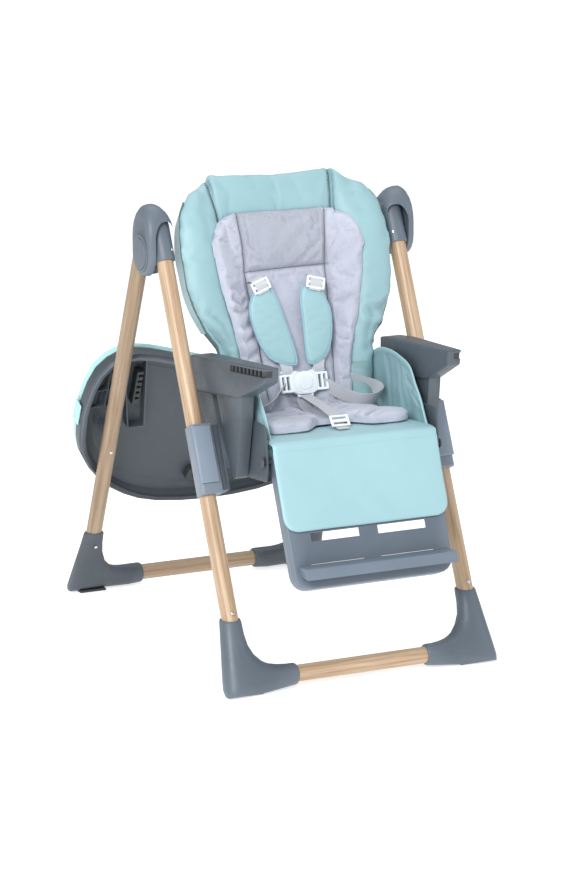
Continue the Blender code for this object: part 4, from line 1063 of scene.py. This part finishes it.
def liner(cushion):
    """One padded insert from the top of the back down and over the seat, in two lobes."""
    tree = tree_of(cushion)
    pad = crossing_pad("liner_cover", "grey", tree, LINER_TOP, liner_end, liner_half, liner_depth,
                       0.0105, 87, 0.0036)
    co = array_of(pad)
    local = (np.array(BACK.inverted()) @ np.c_[co, np.ones(len(co))].T).T[:, :3]
    held = np.zeros(len(co))
    for line in LINER_SEAMS + [PILLOW_SEAM]:
        d = to_line(local, line)
        held = np.maximum(held, np.clip((0.008 - d) / 0.005, 0, 1))
    normal = normals_of(pad)
    outward = np.where(local[:, 2] > 0.03, -normal[:, 1], normal[:, 2])
    held = np.maximum(held, np.clip(0.3 - outward, 0, 0.5) * 2)
    inflate(pad, np.clip(held, 0, 1), 5.0, 0.035, 0.0055)
    refine(pad)
    unevenness(pad, 0.045, 0.0016, 11.0)
    unevenness(pad, 0.016, 0.0005, 14.0)
    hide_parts("liner_back", "liner_seat")
    copy = pad.copy()
    copy.data = pad.data.copy()
    copy.data.transform(BACK.inverted())
    for number, line in enumerate(LINER_SEAMS + [PILLOW_SEAM]):
        found = surface_line(copy, line, 0.0002)
        on_back(seam_shade_cord(f"liner_seam_{number}_shade", found, 0.0009, "seam_shade_grey", BACK), "grey_fabric")
        on_back(stitches(f"liner_seam_{number}", found, "thread_grey", BACK, 0.0028, 0.004, 0.0028,
                         0.00026), "grey_fabric")
    bpy.data.objects.remove(copy)
    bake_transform(pad)
    gusset = crossing_pad("seat_gusset", "mint", tree, 0.085, lambda x: -0.06,
                          lambda s, sign: SEAT_REACH, gusset_depth, 0.006, 41, 0.006)
    unevenness(gusset, 0.03, 0.0016, 17.0)
    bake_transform(gusset)


def seat_cushion():
    """Plain mint pad in the seat pan, mostly under the liner."""
    pad = soft_copy("seat_cushion_cover", "seat_cushion", SEAT, "mint", 0.0055, 5)
    inflate(pad, hold(pad, [], UP), 3.0, 0.03, 0.004)
    refine(pad)
    unevenness(pad, 0.06, 0.001, 31.0)
    return settle(pad, "seat_carriage", "mint_vinyl", "seat_cushion", fill=0.8)


def calf_point(w, depth=-0.0212):
    """(y, z) of a point on the front of the calf rest, `w` above its lower frame's origin."""
    place = CALF @ Vector((0, depth, w))
    return (place.y, place.z)


# Side view of the cover that runs off the seat and down the calf rest.
FLAP_PATH = [(-0.255 + SHIFT, 0.46), (-0.3 + SHIFT, 0.4612), (-0.335 + SHIFT, 0.4625),
             (-0.356 + SHIFT, 0.46), calf_point(0.016, -0.0262), calf_point(0.0, -0.0245),
             calf_point(-0.03, -0.0225), calf_point(-0.07), calf_point(-0.11),
             calf_point(-0.14)]


FLAP_HALF = 0.1705            # half the cover's width, less FLAP_TAPER where it leaves the seat
FLAP_TAPER = 0.012
FLAP_THICKNESS = 0.0075
FLAP_RIM = 0.014              # width of its round edge
FLAP_CORNER = 0.03            # radius of its two lower corners
FLAP_COLUMNS = 69


def flap_cover():
    """Padded mint cover from the seat's front over the calf hinge, with round lower corners."""
    line = spline([(0.0, y, z) for y, z in FLAP_PATH], 0.005)
    lengths = np.cumsum([0.0] + [(b - a).length for a, b in zip(line, line[1:])])
    shares = [-1 + 2 * k / (FLAP_COLUMNS - 1) for k in range(FLAP_COLUMNS)]
    bm = bmesh.new()
    sheets = []
    for side in (1, -1):
        rows = []
        for i, point in enumerate(line):
            ahead, behind = line[min(i + 1, len(line) - 1)], line[max(i - 1, 0)]
            run = (ahead - behind).normalized()
            out = Vector((0, run.z, -run.y)) * -1.0
            left = lengths[-1] - lengths[i]
            half = FLAP_HALF - FLAP_TAPER * max(0.0, 1 - lengths[i] / 0.075)
            if left < FLAP_CORNER:
                half -= FLAP_CORNER - math.sqrt(FLAP_CORNER ** 2 - (FLAP_CORNER - left) ** 2)
            row = []
            for u in shares:
                rim = min(1.0, (1 - abs(u)) * half / FLAP_RIM, left / FLAP_RIM)
                swell = math.sqrt(max(0.0, 1 - (1 - rim) ** 2))
                crown = 0.0018 * (1 - u * u) if side > 0 else 0.0
                lift = side * FLAP_THICKNESS / 2 * swell + crown * swell
                row.append(bm.verts.new(point + Vector((u * half, 0, 0)) + out * lift))
            rows.append(row)
        skin(bm, rows, flip=side < 0)
        sheets.append(rows)
    band(bm, sheets[0][0], sheets[1][0], flip=True)
    bmesh.ops.remove_doubles(bm, verts=bm.verts, dist=2e-5)
    pad = from_bmesh("calf_cover", bm, "pale_mint", sharp=80)
    co = array_of(pad)
    seam_y, seam_z = FLAP_PATH[4]
    near_seam = np.exp(-(((co[:, 1] - seam_y) ** 2 + (co[:, 2] - seam_z) ** 2) / 0.0026 ** 2))
    write(pad, co - normals_of(pad) * (0.0016 * near_seam)[:, None])
    creases(pad, [
        ([(-0.06, 0.39), (-0.02, 0.35), (0.01, 0.322)], 0.0009, 0.02),
        ([(0.02, 0.372), (0.05, 0.345), (0.062, 0.33)], 0.0008, 0.016),
        ([(-0.13, 0.43), (-0.1, 0.405), (-0.09, 0.38)], 0.0007, 0.018),
        ([(0.15, 0.44), (0.12, 0.415), (0.11, 0.395)], 0.0007, 0.018),
    ])
    unevenness(pad, 0.09, 0.0011, 41.0)
    refine(pad)
    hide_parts("calf_cushion")
    found = surface_line(pad, [(x, 0.4495) for x in (-0.163, 0.0, 0.163)], SEAM_PAINT, -0.6)
    row = stitches("calf_cover_seam_upper", found, "thread", Matrix.Identity(4))
    for item in (pad, row):
        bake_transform(item)


# ---------------------------------------------------------------- side drapes


DRAPE = {
    # outline of a drape seen from the side, (y, z) in the chair's own frame
    "top": [(-0.078, 0.552), (-0.128, 0.575), (-0.175, 0.58), (-0.225, 0.574), (-0.262, 0.562),
            (-0.285, 0.533), (-0.306, 0.508), (-0.324, 0.478), (-0.336, 0.46)],
    "bottom": [(-0.078, 0.456), (-0.128, 0.456), (-0.16, 0.455), (-0.2, 0.455), (-0.235, 0.455),
               (-0.262, 0.455), (-0.29, 0.455), (-0.315, 0.454), (-0.334, 0.452)],
}


def side_drape(side, sign):
    """Loose fold of the cover that hangs inside an armrest, in shallow upright folds."""
    top = spline([(0, y + SHIFT, z) for y, z in DRAPE["top"]], 0.0045)
    bottom = spline([(0, y + SHIFT, z) for y, z in DRAPE["bottom"]], 0.0045)
    rows, columns = 26, min(len(top), len(bottom))
    bm = bmesh.new()
    grids = []
    for face in (0, 1):
        grid = []
        for j in range(rows):
            t = j / (rows - 1)
            row = []
            for i in range(columns):
                s = i / (columns - 1)
                a = top[round(s * (len(top) - 1))]
                b = bottom[round(s * (len(bottom) - 1))]
                y, z = a.y + (b.y - a.y) * t, a.z + (b.z - a.z) * t
                wave = (math.sin(13.0 * s + 2.0 * t) + 0.5 * math.sin(29.0 * s - 3.0 * t + 1.0)
                        + 0.8 * noise.noise(Vector((s * 5, t * 3, sign * 4.0))))
                lean = 0.006 * (1 - t) ** 1.5
                fold = 0.0036 * wave * math.sin(math.pi * min(1.0, 0.25 + 0.75 * (1 - t)))
                lip = 0.003 * math.exp(-(t / 0.06) ** 2)
                x = DRAPE_X - lean - fold * 0.8 + lip * (0.4 if face else -1)
                x += DRAPE_THICKNESS * face
                row.append(bm.verts.new((sign * x, y, z)))
            grid.append(row)
        grids.append(grid)
    inner, outer = grids
    skin(bm, inner)
    skin(bm, outer)
    for end in (0, -1):
        band(bm, outer[end], inner[end])
        band(bm, [row[end] for row in outer], [row[end] for row in inner])
    drape = from_bmesh(f"side_drape_{side}_cover", bm, "mint", sharp=80)
    creases(drape, [
        ([(-0.25 + SHIFT, 0.535), (-0.275 + SHIFT, 0.52), (-0.292 + SHIFT, 0.512)], 0.0022, 0.006),
        ([(-0.262 + SHIFT, 0.515), (-0.285 + SHIFT, 0.497)], 0.0018, 0.005),
        ([(-0.215 + SHIFT, 0.56), (-0.222 + SHIFT, 0.52), (-0.232 + SHIFT, 0.48)], 0.0016, 0.007),
        ([(-0.16 + SHIFT, 0.565), (-0.166 + SHIFT, 0.51), (-0.172 + SHIFT, 0.47)], 0.0016, 0.008),
    ], FROM_SIDE, (-sign, 0, 0))
    refine(drape)
    settle(drape, "seat_carriage", "mint_vinyl", f"side_drape_{side}")
    bm = bmesh.new()
    path = [Vector((sign * (DRAPE_X - 0.0062), p.y, p.z + 0.0004)) for p in top[::2]]
    sweep(bm, path, [Vector((sign, 0, 0))] * len(path), round_section(0.0019))
    settle(from_bmesh(f"side_drape_{side}_piping", bm, "pale_mint", sharp=80), "seat_carriage",
           "mint_vinyl")


# ---------------------------------------------------------------- harness


PADS = {
    "right": [(-0.083, 0.236), (-0.052, 0.243), (-0.04, 0.222), (-0.025, 0.167), (-0.015, 0.118),
              (-0.0135, 0.094), (-0.022, 0.089), (-0.06, 0.101), (-0.077, 0.12),
              (-0.088, 0.145), (-0.096, 0.18), (-0.096, 0.205), (-0.091, 0.222)],
    "left": [(0.018, 0.239), (0.052, 0.232), (0.063, 0.214), (0.071, 0.188), (0.07, 0.16),
             (0.065, 0.135), (0.055, 0.11), (0.042, 0.097), (0.018, 0.088), (0.01, 0.095),
             (0.009, 0.12), (0.01, 0.165), (0.012, 0.215)],
}
PAD_DEPTH = -0.0715


def shoulder_pad(side):
    """Mint pad on a shoulder strap, with a bound edge and a row of stitches inside it."""
    outline = PADS[side]
    pad = soft_copy(f"shoulder_pad_{side}_cover", f"shoulder_pad_{side}", BACK, "pale_mint",
                    0.0032, 6)
    rim = outline + outline[:1]
    inflate(pad, hold(pad, [rim], far=0.01), 5.0, 0.006, 0.0028)
    refine(pad)
    unevenness(pad, 0.03, 0.0007, 51.0)
    settle(pad, "backrest", "mint_vinyl", f"shoulder_pad_{side}", fill=0.7)
    loop = spline([(x, PAD_DEPTH, z) for x, z in rim], 0.004)[:-1]
    middle = sum(loop, Vector()) / len(loop)
    tucked = [p + (middle - p).normalized() * 0.0016 for p in loop]
    bm = bmesh.new()
    sweep(bm, tucked, [Vector((0, -1, 0))] * len(tucked), flat_section(0.0062, 0.005), True)
    on_back(from_bmesh(f"shoulder_pad_{side}_binding", bm, "bluish", BACK, 60))
    inner = [(p.x + (middle.x - p.x) * 0.11, p.z + (middle.z - p.z) * 0.055) for p in loop[::3]]
    found = surface_line(pad, inner + inner[:1], SEAM_PAINT)
    on_back(stitches(f"shoulder_pad_{side}_stitching", found, "thread", BACK, 0.0, 0.0042, 0.0027,
                     0.00028))


def bar(x0, x1, z0, z1):
    """Corners of a straight bar."""
    low, high = sorted((x0, x1))
    return [(low, z0), (high, z0), (high, z1), (low, z1)]


def adjuster(name, node, body, place):
    """White slide adjuster: two rounded uprights and three rungs, so that every edge is soft."""
    width, height, depth, rim = 0.038, 0.0235, 0.0044, 0.0044
    bars = []
    for x in (-width / 2 + rim / 2, width / 2 - rim / 2):
        bars.append(arc_corners([(a, b, 0.0012) for a, b in bar(x - rim / 2, x + rim / 2, -height / 2,
                                                                height / 2)]))
    for low, high in ((-height / 2, -0.008), (-0.0028, 0.0028), (0.008, height / 2)):
        bars.append(bar(-width / 2 + rim * 0.6, width / 2 - rim * 0.6, low, high))
    parts = [extrude(part, -depth / 2, depth / 2, depth * 0.28) for part in bars]
    settle(from_bmesh(name, merge(*parts), "white", place), body, "white_plastic", node)


def shoulder_straps():
    """The straps' visible ends above the pads, through their adjusters, and below them."""
    for side, x, z, turn in (("left", 0.044, 0.243, 14.0), ("right", -0.071, 0.246, -20.0)):
        turned = Matrix.Rotation(math.radians(turn), 4, "Y")
        place = BACK @ Matrix.Translation((x, -0.0805, z)) @ turned
        adjuster(f"shoulder_adjuster_{side}_frame", f"shoulder_adjuster_{side}", "backrest", place)
        up = [(0, 0.03, 0.018), (0, 0.021, 0.0175), (0, 0.012, 0.016), (0, 0.004, 0.012),
              (0, -0.001, 0.007), (0, -0.0036, 0.0), (0, -0.001, -0.008), (0, 0.001, -0.015)]
        on_back(tape(f"shoulder_strap_{side}_upper", up, [(1, 0, 0)] * 8, 0.0245, "tape_white", place),
                "webbing")
    ends = {"right": [(-0.04, -0.07, 0.104), (-0.036, -0.0705, 0.09), (-0.0335, -0.069, 0.08),
                      (-0.033, -0.0655, 0.073)],
            "left": [(0.036, -0.07, 0.104), (0.033, -0.0705, 0.09), (0.032, -0.069, 0.08),
                     (0.032, -0.0655, 0.073)]}
    for side, path in ends.items():
        sides = [(1, 0, 0.1)] * 2 + [(1, 0, 0)] * 2
        on_back(tape(f"shoulder_strap_{side}_lower", path, sides, 0.0235, "tape_white", BACK), "webbing")


BUCKLE_Z = 0.056


def disc(radius, z):
    return [(x, z + y) for x, y in round_section(radius, 36)]


def buckle():
    """Five-point buckle: shield-shaped centre, two prongs with slots and a round button."""
    z = BUCKLE_Z
    centre = arc_corners([(-0.026, z - 0.018, 0.004), (-0.016, z - 0.0235, 0.004),
                          (0.016, z - 0.0235, 0.004), (0.026, z - 0.018, 0.004),
                          (0.028, z + 0.012, 0.004), (0.02, z + 0.0235, 0.004),
                          (0.006, z + 0.019, 0.004), (-0.006, z + 0.019, 0.004),
                          (-0.02, z + 0.0235, 0.004), (-0.028, z + 0.012, 0.004)])
    parts = [extrude(centre, -0.0685, -0.0556, 0.0022, 3)]
    parts.append(extrude(disc(0.0205, z), -0.0694, -0.066, 0.0008))
    for sign in (-1, 1):
        for x0, x1, z0, z1 in ((0.025, 0.03, -0.0165, 0.015), (0.0365, 0.0405, -0.015, 0.0145),
                               (0.046, 0.05, -0.016, 0.015)):
            parts.append(extrude(bar(sign * x0, sign * x1, z + z0, z + z1), -0.0665, -0.059, 0.001))
        for z0, z1 in ((0.012, 0.0165), (-0.0185, -0.0135)):
            parts.append(extrude(bar(sign * 0.024, sign * 0.0495, z + z0, z + z1), -0.067, -0.0585,
                                 0.0012))
        tongue = arc_corners([(sign * 0.02, z + 0.015, 0.0), (sign * 0.047, z + 0.0185, 0.0015),
                              (sign * 0.045, z + 0.0245, 0.0015), (sign * 0.022, z + 0.0265, 0.0015)])
        parts.append(extrude(tongue if sign > 0 else tongue[::-1], -0.0655, -0.06, 0.001))
    hook = arc_corners([(-0.016, z - 0.029, 0.002), (0.016, z - 0.029, 0.002),
                        (0.016, z - 0.0255, 0.001), (-0.016, z - 0.0255, 0.001)])
    parts.append(extrude(hook, -0.066, -0.06, 0.0012))
    for sign in (-1, 1):
        parts.append(extrude(bar(sign * 0.0125, sign * 0.016, z - 0.0285, z - 0.0215), -0.0655, -0.06,
                             0.0008))
    made = from_bmesh("buckle_housing", merge(*parts), "white", BACK)
    settle(made, "seat_carriage", "white_plastic", "buckle_body")
    made = from_bmesh("buckle_push_button", extrude(disc(0.0158, z), -0.0718, -0.068, 0.0014, 3),
                      "white", BACK)
    settle(made, "buckle_button", "white_plastic", "buckle_button")


def lower_straps():
    """Crotch strap with its adjuster, and the waist straps' loops at each side of the buckle."""
    y = SHIFT
    down = [(0, -0.1405 + y, 0.5035), (0, -0.152 + y, 0.499), (0.001, -0.185 + y, 0.4955),
            (0.002, -0.225 + y, 0.4915), (0.001, -0.26 + y, 0.4875), (0, -0.277 + y, 0.4855),
            (0, -0.2885 + y, 0.4835), (0, -0.2925 + y, 0.478), (0, -0.295 + y, 0.472),
            (0, -0.306 + y, 0.469), (0, -0.324 + y, 0.468)]
    made = tape("crotch_strap_upper", down, [(1, 0, 0)] * len(down), 0.0245, "tape", SEAT)
    settle(made, "seat_carriage", "webbing", "crotch_strap")
    under = [(-0.002, -0.1405 + y, 0.5), (-0.004, -0.146 + y, 0.49),
             (-0.005, -0.158 + y, 0.48), (-0.005, -0.18 + y, 0.4745), (-0.004, -0.205 + y, 0.47)]
    made = tape("crotch_strap_lower", under, [(1, 0, 0)] * 5, 0.0245, "tape", SEAT)
    settle(made, "seat_carriage", "webbing")
    place = Matrix.Translation((0, -0.289 + y, 0.479)) @ Matrix.Rotation(math.radians(-42), 4, "X")
    adjuster("crotch_adjuster_frame", "crotch_adjuster", "seat_carriage", place)
    for side, sign in (("left", 1), ("right", -1)):
        loop = [(0.041, -0.138, 0.516), (0.056, -0.15, 0.508), (0.078, -0.168, 0.495),
                (0.103, -0.183, 0.487), (0.128, -0.184, 0.487), (0.149, -0.172, 0.492),
                (0.1545, -0.16, 0.496), (0.15, -0.148, 0.502), (0.125, -0.139, 0.511),
                (0.098, -0.13, 0.52), (0.084, -0.116, 0.53)]
        path = [(sign * a, b + y, c) for a, b, c in loop]
        roll = 0.0 if sign > 0 else 0.7
        lean = ([(0, -0.25 - roll, 1)] * 3 + [(0, -0.45 - roll, 1)] * 3
                + [(sign * 0.25, -0.55, 1)] * 3 + [(0, -0.35, 1)] * 2)
        made = tape(f"waist_strap_{side}_loop", path, lean, 0.0285, "tape", SEAT)
        settle(made, "seat_carriage", "webbing", f"waist_strap_{side}")


# ---------------------------------------------------------------- small hardware


def screw_head(bm, place, radius=0.0034, height=0.0014):
    """Domed cross-slot screw head; `place` puts its axis along local Z."""
    profile = [(radius, 0.0), (radius, height * 0.45), (radius * 0.8, height * 0.85),
               (radius * 0.4, height)]
    rings = [[bm.verts.new(place @ Vector((x, y, h))) for x, y in round_section(r, 14)]
             for r, h in profile]
    skin(bm, [ring + ring[:1] for ring in rings])
    bm.faces.new(rings[0][::-1])
    bm.faces.new(rings[-1])


def aimed(point, direction):
    """Frame at a point whose Z axis runs along a direction."""
    return Matrix.Translation(point) @ Vector(direction).to_track_quat("Z", "Y").to_matrix().to_4x4()


def screws_and_rivets():
    """Screw heads in the feet and hub sockets, and rivets part-way up the rear legs."""
    groups = {
        "base_frame": [(FRONT_LEG, (s * 0.2466, -0.0206, -0.7), (0, -1, 0)) for s in (-1, 1)]
        + [(FRONT_LEG, (s * 0.233, -0.0162, 0.004), (-s * 0.62, -0.78, 0)) for s in (-1, 1)],
        "rear_frame": [(REAR_LEG, (s * 0.2516, -0.0208, -0.737), (0, -1, 0)) for s in (-1, 1)]
        + [(REAR_LEG, (s * 0.2545, -0.016, -0.49), (0, -1, 0)) for s in (-1, 1)],
    }
    for body, places in groups.items():
        bm = bmesh.new()
        for base, point, direction in places:
            screw_head(bm, base @ aimed(point, direction))
        settle(from_bmesh(body + "_screws", bm, "steel", sharp=50), body, "steel")


# ---------------------------------------------------------------- stage, light and camera


def area_light(name, place, aim, size, energy, colour=(1, 1, 1)):
    data = bpy.data.lights.new(name, "AREA")
    data.shape = "RECTANGLE"
    data.size, data.size_y = size
    data.energy = energy
    data.color = colour
    made = bpy.data.objects.new(name, data)
    bpy.context.scene.collection.objects.link(made)
    made.matrix_world = aimed(place, Vector(place) - Vector(aim))


def stage():
    """White floor and world, with a key light from the left of the camera."""
    bm = bmesh.new()
    bmesh.ops.create_grid(bm, x_segments=2, y_segments=2, size=40.0)
    floor = from_bmesh("floor", bm, "white")
    look = Look("floor_white", (0.8, 0.8, 0.8), 0.9, Emission_Color=(1, 1, 1, 1),
                Emission_Strength=0.62)
    tone = look.noise(look.coordinates(), 0.6, 2.0)
    look.feed("Base Color", look.ramp(tone, [(0.2, (0.79, 0.79, 0.79)), (0.8, (0.81, 0.81, 0.81))]))
    floor.data.materials.clear()
    floor.data.materials.append(look.material)
    scene = bpy.context.scene
    scene.view_settings.view_transform = "Standard"
    scene.view_settings.look = "None"
    world = bpy.data.worlds.new("studio")
    world.use_nodes = True
    background = world.node_tree.nodes["Background"]
    background.inputs["Color"].default_value = (0.98, 0.99, 1.0, 1.0)
    background.inputs["Strength"].default_value = 0.58
    scene.world = world
    area_light("key", (-2.4, -3.0, 2.6), (0, 0, 0.45), (1.4, 1.4), 128.0, (1.0, 0.99, 0.97))
    area_light("fill", (3.2, -2.4, 1.8), (0, 0, 0.45), (2.0, 2.0), 16.0, (0.95, 0.98, 1.0))
    area_light("top", (0.3, 0.6, 3.4), (0, 0, 0.4), (2.4, 2.4), 30.0)


CAMERA_PLACE = (-2.3851, -5.3234, 1.7138)
CAMERA_AZIMUTH = math.radians(24.198)
CAMERA_HEIGHT = math.radians(12.78)
CAMERA_ROLL = math.radians(-0.569)


def camera():
    back = Vector((-math.sin(CAMERA_AZIMUTH) * math.cos(CAMERA_HEIGHT),
                   -math.cos(CAMERA_AZIMUTH) * math.cos(CAMERA_HEIGHT), math.sin(CAMERA_HEIGHT)))
    level = Vector((math.cos(CAMERA_AZIMUTH), -math.sin(CAMERA_AZIMUTH), 0.0))
    above = back.cross(level)
    right = level * math.cos(CAMERA_ROLL) + above * math.sin(CAMERA_ROLL)
    up = above * math.cos(CAMERA_ROLL) - level * math.sin(CAMERA_ROLL)
    data = bpy.data.cameras.new("camera")
    data.lens = 125.3
    data.sensor_width = 36.0
    made = bpy.data.objects.new("camera", data)
    turn = Matrix((right, up, back)).transposed().to_4x4()
    made.matrix_world = Matrix.Translation(CAMERA_PLACE) @ turn
    bpy.context.scene.collection.objects.link(made)
    bpy.context.scene.camera = made


# ---------------------------------------------------------------- everything

stage()
camera()
rigid_parts()
seat_cushion()
liner(back_cushion())
flap_cover()
side_drape("left", 1)
side_drape("right", -1)
shoulder_pad("left")
shoulder_pad("right")
shoulder_straps()
buckle()
lower_straps()
screws_and_rivets()
